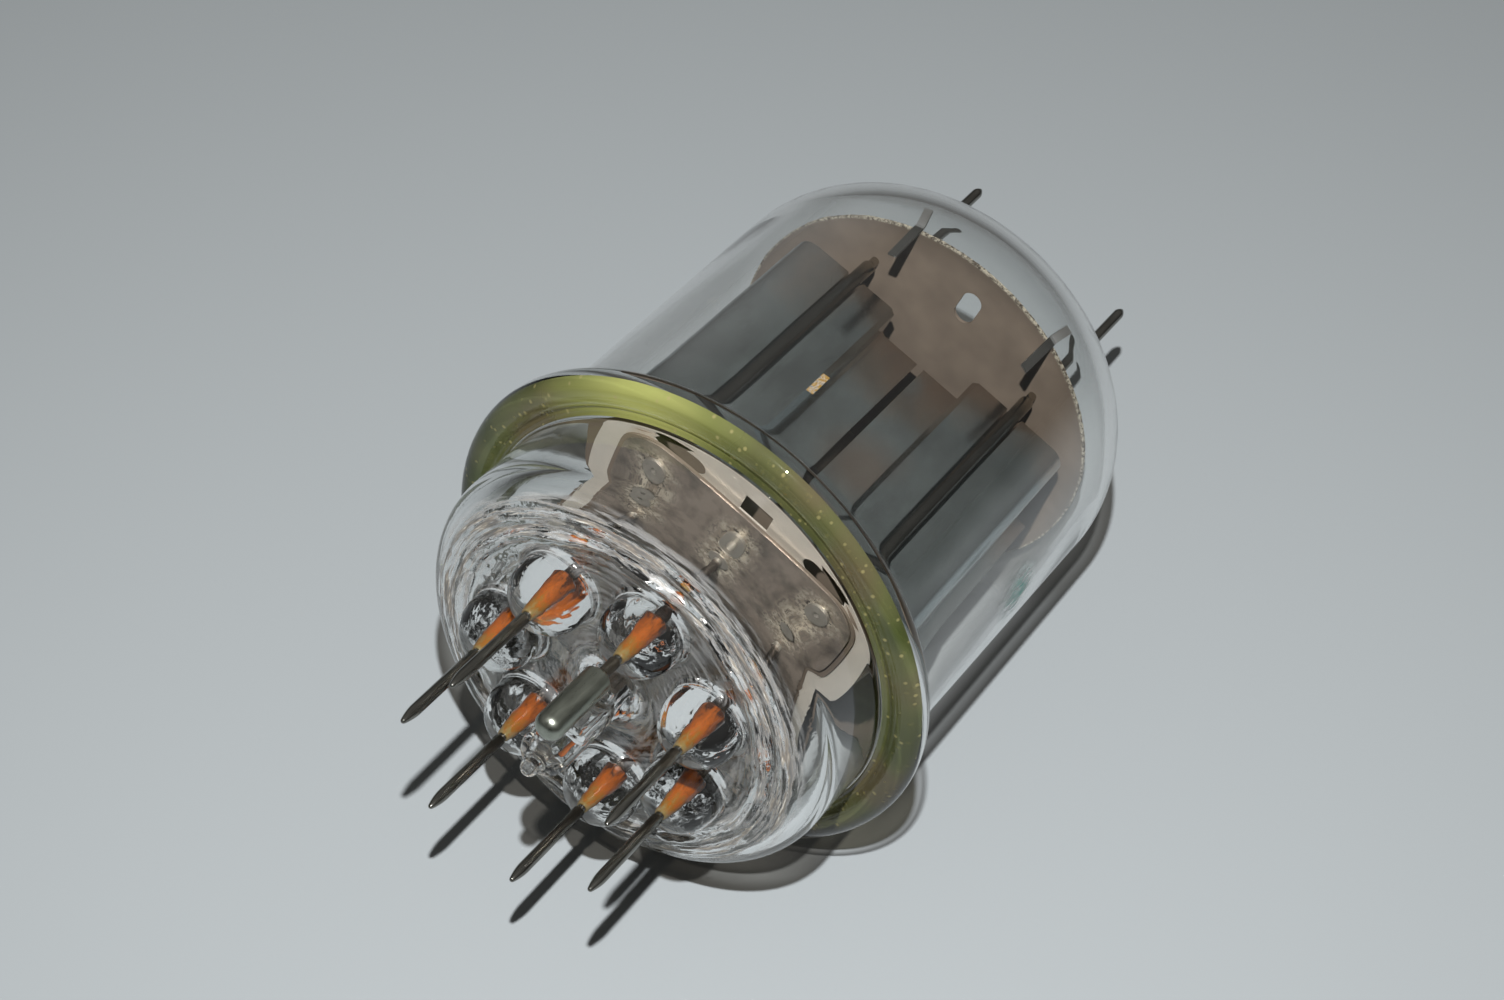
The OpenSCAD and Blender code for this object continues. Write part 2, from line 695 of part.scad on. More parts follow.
module lower_shield() {
    color([0.5, 0.46, 0.41]) lay() translate([0, 0, shield_z]) linear_extrude(plate_t) difference() {
        shield_outline();
        deck_holes();
        for (sx = [-1, 1], sy = [-1, 1])
            translate([sx * (vent_in + vent_out) / 2, sy * (plate_y + vent_shift)])
                stadium(vent_out - vent_in, vent_w);
        for (sy = [-1, 1]) translate([0, sy * (plate_y + (notch_len - notch_lap) / 2)])
            square([notch_w, notch_len + notch_lap], center = true);
    }
}

module deck_mica() {
    color([0.6, 0.55, 0.45]) lay() translate([0, 0, mica_z]) linear_extrude(mica_t) difference() {
        rounded_plate(plate_x + mica_margin, plate_y - mica_margin, plate_corner);
        deck_holes();
    }
}

module capacitor_plate() {
    color([0.5, 0.47, 0.43]) lay() translate([0, 0, deck_z]) linear_extrude(plate_t) difference() {
        rounded_plate(plate_x, plate_y, plate_corner);
        deck_holes();
    }
}

module deck_eyelets() {
    head = eyelet_head;
    height = deck_top - deck_z;
    color([0.6, 0.58, 0.52]) lay() for (sx = [-1, 0, 1], sy = [-1, 1])
        translate([sx * eyelet_x, sy * eyelet_y, deck_z - head]) difference() {
            union() {
                cylinder(r = eyelet_r, h = head);
                cylinder(r = eyelet_r / 2, h = height + 2 * head);
                translate([0, 0, height + head]) cylinder(r = eyelet_r, h = head);
            }
            translate([0, 0, -CUT]) cylinder(r = eyelet_r / 4, h = height + 2 * head + 2 * CUT);
        }
}

module index_lead() {
    color([0.45, 0.45, 0.43]) lay() translate([each pin_spot(0), pin_top])
        cylinder(d = grid_rod_d, h = deck_z - eyelet_head - pin_top);
}

module ribbon(points, top_z) {
    translate([0, 0, top_z - ribbon_t]) linear_extrude(ribbon_t) {
        for (p = points) translate(p) circle(r = pad_r);
        for (i = [0:len(points) - 2]) {
            step = points[i + 1] - points[i];
            translate(points[i]) rotate(atan2(step[1], step[0])) translate([0, -ribbon_w / 2])
                square([norm(step), ribbon_w]);
        }
    }
}

// Pins 1 and 6 feed the control grids, 2 and 5 the heaters' outer legs, 3 the screen grids
// and 4 the heaters' inner legs
module base_lead(k) {
    spot = pin_spot(k);
    side = k < PINS / 2 ? -1 : 1;
    control_spot = [side * (unit_x + control_w / 2), 0];
    heater_out = [side * (unit_x + heater_x), 0];
    heater_in = unit_x - heater_x;
    screen_in = unit_x - screen_w / 2;
    top_z = k == 4 ? high_leg_z : leg_z;
    color([0.45, 0.45, 0.43]) lay() {
        translate([each spot, pin_top]) cylinder(d = grid_rod_d, h = top_z - ribbon_t / 2 - pin_top);
        if (k == 1 || k == 6) ribbon([spot, control_spot], top_z);
        if (k == 2 || k == 5) ribbon([spot, heater_out], top_z);
        if (k == 3) ribbon([spot, [-screen_in, 0], [screen_in, 0]], top_z);
        if (k == 4) {
            ribbon([[-heater_in, 0], [-heater_in, bridge_y], [heater_in, bridge_y], [heater_in, 0]],
                top_z);
            ribbon([spot, [spot[0], bridge_y]], top_z);
        }
    }
}

bulb();
seal_ring();
base_dish();
index_pin();
index_sleeve();
for (k = [1:PINS - 1]) base_pin(k);
pin_seals();
anode_pin(-1);  // anode_pin_left
anode_pin(1);  // anode_pin_right
anode_seal(-1);  // anode_seal_left
anode_seal(1);  // anode_seal_right
anode_half(-1, -1);  // anode_front_left
anode_half(1, -1);  // anode_front_right
anode_half(-1, 1);  // anode_back_left
anode_half(1, 1);  // anode_back_right
anode_rods(-1);  // anode_rods_left
anode_rods(1);  // anode_rods_right
anode_strap(-1);  // anode_strap_left
anode_strap(1);  // anode_strap_right
anode_lead(-1);  // anode_lead_left
anode_lead(1);  // anode_lead_right
cathode(-1);  // cathode_left
cathode(1);  // cathode_right
heater(-1);  // heater_left
heater(1);  // heater_right
grid(-1, control_w, control_d);  // control_grid_left
grid(1, control_w, control_d);  // control_grid_right
grid(-1, screen_w, screen_d);  // screen_grid_left
grid(1, screen_w, screen_d);  // screen_grid_right
beam_plates(-1);  // beam_plates_left
beam_plates(1);  // beam_plates_right
top_disc();
snubber(-1, -1);  // snubber_front_left
snubber(1, -1);  // snubber_front_right
snubber(-1, 1);  // snubber_back_left
snubber(1, 1);  // snubber_back_right
getter();
cage_mica();
lower_shield();
deck_mica();
capacitor_plate();
deck_eyelets();
index_lead();
for (k = [1:PINS - 1]) base_lead(k);
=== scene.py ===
"""Finish and stage for a twin beam tetrode that lies on its flange and shoulder."""

import json
import math

import bmesh
import bpy
import numpy as np
from bpy.props import FloatProperty, FloatVectorProperty, IntProperty, PointerProperty
from bpy.types import Operator, Panel, PropertyGroup
from mathutils import Matrix, Vector, noise


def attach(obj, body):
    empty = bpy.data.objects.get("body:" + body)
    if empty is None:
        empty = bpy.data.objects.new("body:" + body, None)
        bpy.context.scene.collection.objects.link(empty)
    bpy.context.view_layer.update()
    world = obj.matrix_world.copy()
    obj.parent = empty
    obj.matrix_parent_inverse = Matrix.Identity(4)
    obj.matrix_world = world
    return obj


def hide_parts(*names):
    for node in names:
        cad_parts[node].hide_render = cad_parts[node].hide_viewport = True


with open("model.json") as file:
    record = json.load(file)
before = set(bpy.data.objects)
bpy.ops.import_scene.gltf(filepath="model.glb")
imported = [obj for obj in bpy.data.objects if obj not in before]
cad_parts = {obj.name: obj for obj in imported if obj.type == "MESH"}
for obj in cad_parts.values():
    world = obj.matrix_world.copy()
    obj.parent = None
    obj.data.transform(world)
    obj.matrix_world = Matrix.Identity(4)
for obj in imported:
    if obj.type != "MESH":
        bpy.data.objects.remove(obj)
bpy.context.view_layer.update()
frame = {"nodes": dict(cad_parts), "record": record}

bl_info = {
    "name": "Twin tetrode tube",
    "version": (1, 0, 0),
    "blender": (4, 5, 0),
    "location": "View3D > Sidebar > Tube",
    "description": "Builds the glass, pins and electrodes of a twin tetrode tube and its stage",
    "category": "Add Mesh",
}

BODY = "root"
MM = 0.001
PINS = 7
PIN_STEP = 2 * math.pi / PINS
SIDES = ((-1, "left"), (1, "right"))

# How far the lying tube is turned about its own axis
ROLL = math.radians(19.5)

# Distance in metres under which two points are one
WELD = 1e-7

# Steps of the glass round its axis, and streaks drawn on its molten floor from this radius on
TURNS, STREAKS, MOLTEN_R = 280, 26, 13 * MM

# Angle over which an edge stays sharp on a turned, a folded and a stamped piece
CREASE, FOLD_CREASE, STAMP_CREASE = (math.radians(a) for a in (40, 35, 30))

# Places on the upright tube in millimetres; the bar has its middle and half its size for each axis
GOLD_BAR = {"X": (-4.1, 0.42), "Y": (-25.5, 0.5), "Z": (44.4, 1.6)}
INK_SPOT = (24.5, -8.3, 56.2)
# Middle of a painted glow: lamp light gathered in the sealing glass, painted as a brighter spot
SEAL_PAINTED_GLOW = (-16.0, -22.5, 31.5)
# Middle of a painted brown reflection of the disc on an anode's strip
DISC_REFLECTION_SPOT = (3.4, -8.7, 53.0)

# Share of the lamp's light that comes through the molten floor and the shoulder
SHADE = (0.35, 0.33, 0.305)


def length(name, text, value):
    """A size in metres, from a value in millimetres."""
    return FloatProperty(name=name, description=text, default=value * MM, unit="LENGTH",
                         precision=5, min=0.0)


def tint(name, text, value):
    """A linear colour."""
    return FloatVectorProperty(name=name, description=text, default=value, size=3,
                               subtype="COLOR", min=0.0, max=1.0)


class EnvelopeSizes(PropertyGroup):
    """Sizes of the glass, measured on the upright tube."""
    bulb_r: length("Bulb radius", "Outer radius of the bulb", 25.85)
    bulb_wall: length("Bulb wall", "Thickness of the bulb's glass", 1.4)
    shoulder_z: length("Shoulder height", "Where the straight side ends", 74.4)
    shoulder_r: length("Shoulder radius", "Radius of the shoulder", 12.6)
    cap_rise: length("Cap rise", "How far the cap rises above the shoulder's circle", 4.0)
    flange_r: length("Flange radius", "Outer radius of the fused flange", 29.2)
    flange_z: length("Flange height", "Height of the flange's middle", 31.25)
    bead_r: length("Bead radius", "Half the thickness of the flange", 1.9)
    flare_r: length("Flare radius", "Hollow between flange and bulb", 3.0)
    under_r: length("Under radius", "Hollow under the flange", 0.8)
    seal_low: length("Seal low", "Where the green starts below the flange's middle", 1.15)
    seal_high: length("Seal high", "Where the green ends below the flange's middle", 0.2)
    seal_skin: length("Seal skin", "Clear glass round the sealing glass", 0.7)
    dish_r: length("Dish radius", "Outer radius of the base dish", 24.6)
    dish_wall: length("Dish wall", "Thickness of the base dish", 2.0)
    floor_z: length("Floor height", "Outer floor of the base dish", 17.5)
    corner_r: length("Corner radius", "Outer corner of the base dish", 4.5)
    ridge_r: length("Ridge radius", "Ring of fused glass on the floor", 18.9)
    ridge_h: length("Ridge height", "How far that ring stands out", 0.8)
    dome_r: length("Dome radius", "Glass dome round a base pin", 4.3)
    dome_drop: length("Dome drop", "How far a dome's centre is below the floor", 1.6)
    dome_fillet: length("Dome fillet", "Hollow where a dome meets the floor", 0.8)
    anode_dome_r: length("Anode dome radius", "Glass dome round an anode pin", 2.5)
    anode_drop: length("Anode dome drop", "How far its centre is inside the cap", 0.3)
    anode_fillet: length("Anode dome fillet", "Hollow where it meets the cap", 0.8)
    tip_z: length("Tip height", "Sealed end of the exhaust tube", 3.3)
    tip_ball_r: length("Tip bead radius", "Bead at the sealed end", 1.0)
    tip_tube_r: length("Tip tube radius", "Exhaust tube behind the bead", 2.6)
    tip_flare: length("Tip flare", "Hollow where the exhaust tube meets the floor", 3.0)
    tip_wall: length("Tip wall", "Wall of the exhaust tube", 1.2)


class PinSizes(PropertyGroup):
    """Sizes of the pins and their seals."""
    pin_r: length("Pin radius", "Radius of a pin", 0.635)
    tip_r: length("Pin point radius", "Radius of a pin's rounded point", 0.3)
    base_taper: length("Base pin taper", "Length of a base pin's taper", 2.0)
    anode_taper: length("Anode pin taper", "Length of an anode pin's taper", 1.2)
    wire_r: length("Wire radius", "Radius of the wire inside the glass", 0.45)
    ring_r: length("Pin ring radius", "Circle that the base pins stand on", 12.7)
    pin_top: length("Pin top", "Inner end of a base pin", 21.7)
    seal_r: length("Seal radius", "Radius of the oxide seal at its inner end", 0.85)
    seal_thin_r: length("Thin seal radius", "Radius of the seal where the pin comes out", 0.6)
    seal_inset: length("Seal inset", "How far the seal stops inside the glass", 0.8)
    sleeve_r: length("Sleeve radius", "Radius of the index sleeve", 1.55)
    sleeve_len: length("Sleeve length", "Length of the index sleeve", 9.06)
    sleeve_round: length("Sleeve rounding", "Rounding of the sleeve's free end", 1.2)
    index_inset: length("Index inset", "How far the index pin stops inside", 0.4)
    anode_x: length("Anode pin place", "Distance of an anode pin from the axis", 11.3)
    anode_top: length("Anode pin top", "Tips of the anode pins", 109.0)


class ElectrodeSizes(PropertyGroup):
    """Sizes of the anodes, decks and disc."""
    gap: length("Anode gap", "Half the gap between the anodes", 0.5)
    step_x: length("Step place", "Distance of the step from the middle", 5.8)
    side_x: length("Side place", "Distance of the anode's outer side", 18.6)
    strip_y: length("Strip depth", "Depth of the recessed strip", 8.7)
    face_y: length("Face depth", "Depth of the anode's face", 13.0)
    sheet: length("Sheet", "Thickness of the anode's sheet", 0.4)
    low: length("Anode low", "Lower edge of the anodes", 38.0)
    high: length("Anode high", "Upper edge of the anodes", 70.5)
    rod_r: length("Rod radius", "Radius of the rod on each face", 1.0)
    rod_foot: length("Rod foot", "How far a rod reaches below its anode", 2.0)
    rod_gap: length("Rod gap", "From a rod's shoulder to the disc, and its pin past it", 1.0)
    fold_r: length("Fold radius", "Bend of the anode's outer corner", 1.8)
    seam_w: length("Seam width", "Seam that joins the two halves", 1.6)
    disc_z: length("Disc height", "Underside of the top disc", 74.55)
    disc_r: length("Disc radius", "Radius of the top disc", 22.6)
    plate_t: length("Plate thickness", "Thickness of a deck plate", 0.4)
    edge_t: length("Edge thickness", "Rolled edge of the deck's two plates", 0.15)
    slot_y: length("Slot place", "Where the disc's slot starts", 14.4)
    slot_len: length("Slot length", "Length of the disc's slot", 4.6)
    slot_w: length("Slot width", "Width of the disc's slot", 2.4)
    deck_z: length("Deck height", "Underside of the capacitor plate", 30.5)
    mica_t: length("Mica thickness", "Thickness of a mica sheet", 0.3)
    plate_x: length("Plate half width", "Half the capacitor plate's width", 14.2)
    plate_y: length("Plate half depth", "Half the capacitor plate's depth", 16.4)
    plate_corner: length("Plate corner", "Corner radius of the plate", 3.8)
    shield_r: length("Shield radius", "Radius of the lower shield", 22.05)
    shield_x: length("Shield half width", "Half the shield's width", 16.8)
    shield_corner: length("Shield corner", "Corner radius of the shield", 3.0)
    vent_in: length("Vent start", "Where the shield's slots start", 6.2)
    vent_out: length("Vent end", "Where the shield's slots end", 12.3)
    vent_w: length("Vent width", "Width of the shield's slots", 2.6)
    notch_w: length("Notch width", "Width of the shield's notches", 3.4)
    notch_len: length("Notch length", "Depth of the notches past the plate", 2.4)
    eyelet_x: length("Eyelet place across", "Outer eyelets from the middle", 10.4)
    eyelet_y: length("Eyelet place in depth", "Eyelet rows from the middle", 12.7)
    eyelet_r: length("Eyelet radius", "Radius of an eyelet's head", 1.3)


class GridSizes(PropertyGroup):
    """Sizes of the wound grids."""
    unit_x: length("Unit place", "Distance of a unit's middle from the axis", 9.4)
    control_w: length("Control grid width", "Distance between a control grid's rods", 9.2)
    control_d: length("Control grid depth", "Depth of a control grid", 4.4)
    screen_w: length("Screen grid width", "Distance between a screen grid's rods", 12.0)
    screen_d: length("Screen grid depth", "Depth of a screen grid", 7.0)
    rod_r: length("Grid rod radius", "Radius of a grid's rods", 0.5)
    rod_low: length("Grid rod low", "Lower end of the grids' rods", 33.4)
    rod_high: length("Grid rod high", "Upper end of the grids' rods", 75.55)
    low: length("Winding low", "Height of the first turn", 38.1)
    high: length("Winding high", "Height of the last turn", 69.6)
    pitch: length("Winding pitch", "Distance between two turns", 1.0)
    wire_r: length("Grid wire radius", "Radius of the wound wire", 0.1)


class TubeColours(PropertyGroup):
    """Linear base colours of the finishes."""
    glass: tint("Glass", "Clear glass", (0.975, 0.985, 0.98))
    seal: tint("Sealing glass", "Olive green sealing glass", (0.235, 0.25, 0.10))
    amber: tint("Amber", "Oxide round the pins", (0.88, 0.205, 0.002))
    pin: tint("Pin", "Dark pin metal", (0.235, 0.23, 0.21))
    sleeve: tint("Sleeve", "Grey sleeve metal", (0.34, 0.36, 0.31))
    anode: tint("Anode", "Slate anode metal", (0.37, 0.42, 0.43))
    rod: tint("Rod", "Dark rod metal", (0.13, 0.13, 0.12))
    plate: tint("Plate", "Cloudy brownish nickel", (0.26, 0.215, 0.175))
    shield: tint("Shield", "Grey nickel", (0.78, 0.71, 0.61))
    mica: tint("Mica", "Brown split mica", (0.205, 0.163, 0.126))
    mica_edge: tint("Mica edge", "Flaky bright edge of the mica", (0.75, 0.70, 0.56))
    gold: tint("Gold", "Stamped gold bar", (0.30, 0.18, 0.042))
    ink: tint("Ink", "Smeared green ink", (0.10, 0.36, 0.31))
    oxide: tint("Oxide", "White oxide coat", (0.70, 0.70, 0.66))
    floor: tint("Floor", "Pale cool grey table", (0.42, 0.452, 0.466))


class StageSizes(PropertyGroup):
    """Camera and lights."""
    eye: FloatVectorProperty(name="Camera place", description="Where the lens is",
                             default=(0.10319, -0.18159, 0.25441), size=3, subtype="TRANSLATION")
    forward: FloatVectorProperty(name="View direction", description="Where the lens points",
                                 default=(-0.349301, 0.576466, -0.738699), size=3,
                                 subtype="DIRECTION")
    upward: FloatVectorProperty(name="Up direction", description="Up in the picture",
                                default=(-0.441538, 0.594080, 0.672394), size=3,
                                subtype="DIRECTION")
    lens: FloatProperty(name="Lens", description="Focal length on a 36 mm wide sensor",
                        default=67.55, min=1.0)
    key_place: FloatVectorProperty(name="Key lamp", description="Place of the key lamp",
                                   default=(0.0802, -0.1495, 0.3207), size=3,
                                   subtype="TRANSLATION")
    key_size: length("Key size", "Diameter of the key lamp", 7.0)
    key_aim: FloatVectorProperty(name="Key aim", description="Spot that the lamp faces",
                                 default=(-0.044, 0.182, 0.0), size=3, subtype="TRANSLATION")
    key_power: FloatProperty(name="Key power", description="Power of the key lamp in watts",
                             default=1.66, min=0.0)
    fill: FloatProperty(name="Fill", description="Radiance of the room", default=0.083, min=0.0)
    gloss: FloatProperty(name="Gloss", description="Radiance of the room in glass and metal",
                         default=0.175, min=0.0)
    table: length("Table", "Half the width of the table", 1500.0)


class TubeSettings(PropertyGroup):
    """Everything that a user would change."""
    envelope: PointerProperty(type=EnvelopeSizes)
    pins: PointerProperty(type=PinSizes)
    electrodes: PointerProperty(type=ElectrodeSizes)
    grids: PointerProperty(type=GridSizes)
    colours: PointerProperty(type=TubeColours)
    stage: PointerProperty(type=StageSizes)


def settings():
    """The scene's settings."""
    return bpy.context.scene.tube_settings


def arc(x, y, r, a0, a1, steps):
    """Points of an arc, angles in degrees."""
    return [(x + r * math.cos(math.radians(a0 + (a1 - a0) * i / steps)),
             y + r * math.sin(math.radians(a0 + (a1 - a0) * i / steps)))
            for i in range(steps + 1)]


def refine(points, step):
    """The same path with no stretch longer than step."""
    path = [points[0]]
    for a, b in zip(points, points[1:]):
        count = max(1, math.ceil(math.dist(a, b) / step))
        path += [(a[0] + (b[0] - a[0]) * i / count, a[1] + (b[1] - a[1]) * i / count)
                 for i in range(1, count + 1)]
    return path


def clean(points):
    """The path without repeated points."""
    kept = [points[0]]
    for p in points[1:]:
        if math.dist(p, kept[-1]) > WELD:
            kept.append(p)
    return kept


class Glass:
    """Sizes worked out from the envelope's driving sizes."""

    def __init__(self, e):
        self.bead_mid = e.flange_r - e.bead_r
        self.flare_x = e.bulb_r + e.flare_r
        self.flare_rise = math.sqrt((e.bead_r + e.flare_r) ** 2
                                    - (self.flare_x - self.bead_mid) ** 2)
        self.flare_a = math.degrees(math.atan2(self.flare_rise, self.flare_x - self.bead_mid))
        self.shoulder_x = e.bulb_r - e.shoulder_r
        self.cap_drop = (self.shoulder_x ** 2 - e.cap_rise ** 2) / (2 * e.cap_rise)
        self.cap_r = e.shoulder_r + math.hypot(self.shoulder_x, self.cap_drop)
        self.cap_z = e.shoulder_z - self.cap_drop
        self.cap_a = math.degrees(math.atan2(self.cap_drop, self.shoulder_x))
        self.under_x = e.dish_r + e.under_r
        self.under_drop = math.sqrt((e.bead_r + e.under_r) ** 2
                                    - (self.bead_mid - self.under_x) ** 2)
        self.under_a = math.degrees(math.atan2(self.under_drop, self.bead_mid - self.under_x))
        self.inner_floor = e.floor_z + e.dish_wall
        self.boss_z = e.floor_z - e.dome_drop


def pin_angle(k):
    """Angle of base pin k on the upright tube; the index pin is number 0."""
    return -math.pi / 2 - k * PIN_STEP


def pin_spot(k):
    """Place of base pin k on the upright tube."""
    r = settings().pins.ring_r
    return r * math.cos(pin_angle(k)), r * math.sin(pin_angle(k))


def laid():
    """Matrix that lays the upright tube on its flange and shoulder, as the solids lie."""
    e, p = settings().envelope, settings().pins
    g = Glass(e)
    rise, inward = e.shoulder_z - e.flange_z, g.shoulder_x - g.bead_mid
    tilt = -(math.atan2(inward, rise)
             + math.asin((e.shoulder_r - e.bead_r) / math.hypot(rise, inward)))
    lift = g.bead_mid * math.cos(tilt) + e.flange_z * math.sin(tilt) + e.bead_r
    spots = [p.ring_r * math.sin(pin_angle(k) + ROLL) for k in range(PINS)]
    low = p.tip_r * (math.cos(tilt) - 1) + min(-y * math.sin(tilt) for y in spots)
    high = ((p.anode_top - p.tip_r) * math.cos(tilt) + p.tip_r
            + p.anode_x * math.sin(ROLL) * math.sin(tilt))
    return (Matrix.Translation((0, -(low + high) / 2, lift))
            @ Matrix.Rotation(-math.pi / 2 - tilt, 4, "X")
            @ Matrix.Rotation(ROLL, 4, "Z"))


def as_piece(name, verts, faces, slot, replaced, crease=None):
    """A finished piece on the body, from points on the upright tube."""
    mesh = bpy.data.meshes.new(name)
    mesh.from_pydata([tuple(v) for v in verts], [], faces)
    mesh_piece(name, mesh, slot, replaced, crease)


def mesh_piece(name, mesh, slot, replaced, crease=None):
    """A finished piece on the body, from a mesh on the upright tube."""
    mesh.transform(laid())
    mesh.materials.clear()
    mesh.materials.append(finish(slot))
    mesh.shade_smooth()
    if crease:
        mesh.set_sharp_from_angle(angle=crease)
    mesh.validate()
    piece = bpy.data.objects.new(name, mesh)
    bpy.context.scene.collection.objects.link(piece)
    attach(piece, BODY)
    if replaced:
        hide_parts(*replaced)


def lathe(outline, segments, closed=False):
    """Vertices and faces of a turned shape; faces look away from a wall that is on the left."""
    verts, rings, faces = [], [], []
    angles = [2 * math.pi * s / segments for s in range(segments)]
    for r, z in outline:
        if r < WELD:
            rings.append([len(verts)])
            verts.append((0.0, 0.0, z))
            continue
        rings.append(list(range(len(verts), len(verts) + segments)))
        verts += [(r * math.cos(a), r * math.sin(a), z) for a in angles]
    pairs = list(zip(rings, rings[1:]))
    if closed:
        pairs.append((rings[-1], rings[0]))
    for a, b in pairs:
        for s in range(segments):
            n = (s + 1) % segments
            if len(a) == 1:
                faces.append((a[0], b[n], b[s]))
            elif len(b) == 1:
                faces.append((a[s], a[n], b[0]))
            else:
                faces.append((a[s], a[n], b[n], b[s]))
    return verts, faces


def turned(name, outline, slot, replaced, centre=(0, 0), segments=40, closed=False):
    """A turned piece whose axis is upright at centre."""
    verts, faces = lathe(clean(outline), segments, closed)
    verts = [(x + centre[0], y + centre[1], z) for x, y, z in verts]
    as_piece(name, verts, faces, slot, replaced, CREASE)


def prism(outline, z0, z1):
    """Vertices and faces of a closed outline drawn out from z0 to z1."""
    n = len(outline)
    area = sum(a[0] * b[1] - b[0] * a[1] for a, b in zip(outline, outline[1:] + outline[:1]))
    if area < 0:
        outline = outline[::-1]
    verts = [(x, y, z0) for x, y in outline] + [(x, y, z1) for x, y in outline]
    faces = [tuple(range(n))[::-1], tuple(range(n, 2 * n))]
    faces += [(i, (i + 1) % n, n + (i + 1) % n, n + i) for i in range(n)]
    return verts, faces


def left_of(a, b):
    """Unit vector to the left of the way from a to b."""
    d = (Vector(b) - Vector(a)).normalized()
    return Vector((-d.y, d.x))


def band(path, t):
    """Outline of a sheet of thickness t that follows a path."""
    last = len(path) - 1
    sides = []
    for i, p in enumerate(path):
        before = left_of(path[max(i - 1, 0)], path[max(i, 1)])
        after = left_of(path[min(i, last - 1)], path[min(i + 1, last)])
        sides.append((before + after) / (1 + before.dot(after)) * t / 2)
    out = [tuple(Vector(p) + s) for p, s in zip(path, sides)]
    back = [tuple(Vector(p) - s) for p, s in zip(path, sides)]
    return out + back[::-1]


def bullet(tip_r, full_r, taper):
    """Outline of a pin's point, from its end to the full radius."""
    points = arc(0, tip_r, tip_r, -90, -20, 6)
    points[0] = (0.0, 0.0)
    r0, z0 = points[-1]
    steps = 10
    for t in (i / steps for i in range(1, steps + 1)):
        swell = math.sin(t * math.pi / 2) ** 0.9
        points.append((r0 + (full_r - r0) * swell, z0 + (taper - z0) * t))
    return points


def circle(x, y, r, steps=32):
    """Closed loop of a circle."""
    return arc(x, y, r, 0, 360, steps)[:-1]


def stadium(x, y, width, depth, steps=12):
    """Closed loop of a slot with round ends, longest along x."""
    r = depth / 2
    reach = width / 2 - r
    return arc(x + reach, y, r, -90, 90, steps) + arc(x - reach, y, r, 90, 270, steps)


def rounded_box(x, y, r, steps=8):
    """Closed loop of a rectangle of half sizes x and y with round corners."""
    loop = []
    for a0, sx, sy in ((0, 1, 1), (90, -1, 1), (180, -1, -1), (270, 1, -1)):
        loop += arc(sx * (x - r), sy * (y - r), r, a0, a0 + 90, steps)
    return loop


def baked(holder):
    """A holder's result as a plain mesh, with doubles merged and faces outwards."""
    bpy.context.scene.collection.objects.link(holder)
    bpy.context.view_layer.update()
    mesh = bpy.data.meshes.new_from_object(holder.evaluated_get(
        bpy.context.evaluated_depsgraph_get()))
    holder.modifiers.clear()
    bpy.data.objects.remove(holder)
    edit = bmesh.new()
    edit.from_mesh(mesh)
    bmesh.ops.remove_doubles(edit, verts=edit.verts, dist=WELD)
    bmesh.ops.recalc_face_normals(edit, faces=edit.faces)
    edit.to_mesh(mesh)
    edit.free()
    return mesh


def plate_mesh(name, loops, z, t):
    """A flat plate with holes, filled by a flat curve that is then made a mesh."""
    curve = bpy.data.curves.new(name, "CURVE")
    curve.dimensions = "2D"
    curve.fill_mode = "BOTH"
    curve.extrude = t / 2
    for loop in loops:
        spline = curve.splines.new("POLY")
        spline.points.add(len(loop) - 1)
        for point, (x, y) in zip(spline.points, loop):
            point.co = (x, y, 0, 1)
        spline.use_cyclic_u = True
    mesh = baked(bpy.data.objects.new(name, curve))
    bpy.data.curves.remove(curve)
    mesh.transform(Matrix.Translation((0, 0, z + t / 2)))
    return mesh


class Tree:
    """A node tree, with short calls for the nodes that its makers share."""

    def __init__(self, tree):
        self.tree = tree

    def add(self, kind, **values):
        """A new node; values are its attributes."""
        node = self.tree.nodes.new(kind)
        for key, value in values.items():
            setattr(node, key, value)
        return node

    def feed(self, socket, value):
        """Links an output to an input, or sets the input to a constant."""
        if isinstance(value, bpy.types.NodeSocket):
            self.tree.links.new(value, socket)
        elif socket.type == "RGBA" and len(value) == 3:
            socket.default_value = (*value, 1.0)
        else:
            socket.default_value = value

    def fill(self, node, values):
        """Feeds a node's inputs by name or number."""
        for key, value in values.items():
            self.feed(node.inputs[key], value)
        return node

    def math(self, operation, *values):
        """Result of a sum; more than two values are taken in turn."""
        total = values[0]
        for value in values[1:]:
            node = self.add("ShaderNodeMath", operation=operation)
            total = self.fill(node, {0: total, 1: value}).outputs[0]
        return total

    def spread(self, value, low, high, start=0.3, end=0.7):
        """A value from start to end, spread over low to high."""
        return self.fill(self.add("ShaderNodeMapRange"), {
            "Value": value, "From Min": start, "From Max": end, "To Min": low,
            "To Max": high}).outputs["Result"]

    def parts(self, vector):
        """X, Y and Z of a vector."""
        return self.fill(self.add("ShaderNodeSeparateXYZ"), {0: vector}).outputs

    def vector(self, x, y, z):
        """A vector from its parts."""
        return self.fill(self.add("ShaderNodeCombineXYZ"), {0: x, 1: y, 2: z}).outputs[0]

    def ramp(self, value, stops):
        """A colour for each place on a ramp."""
        node = self.fill(self.add("ShaderNodeValToRGB"), {"Fac": value})
        points = node.color_ramp.elements
        while len(points) < len(stops):
            points.new(0.5)
        for point, (place, colour) in zip(points, stops):
            point.position = place
            point.color = (*colour, 1.0)
        return node.outputs["Color"]


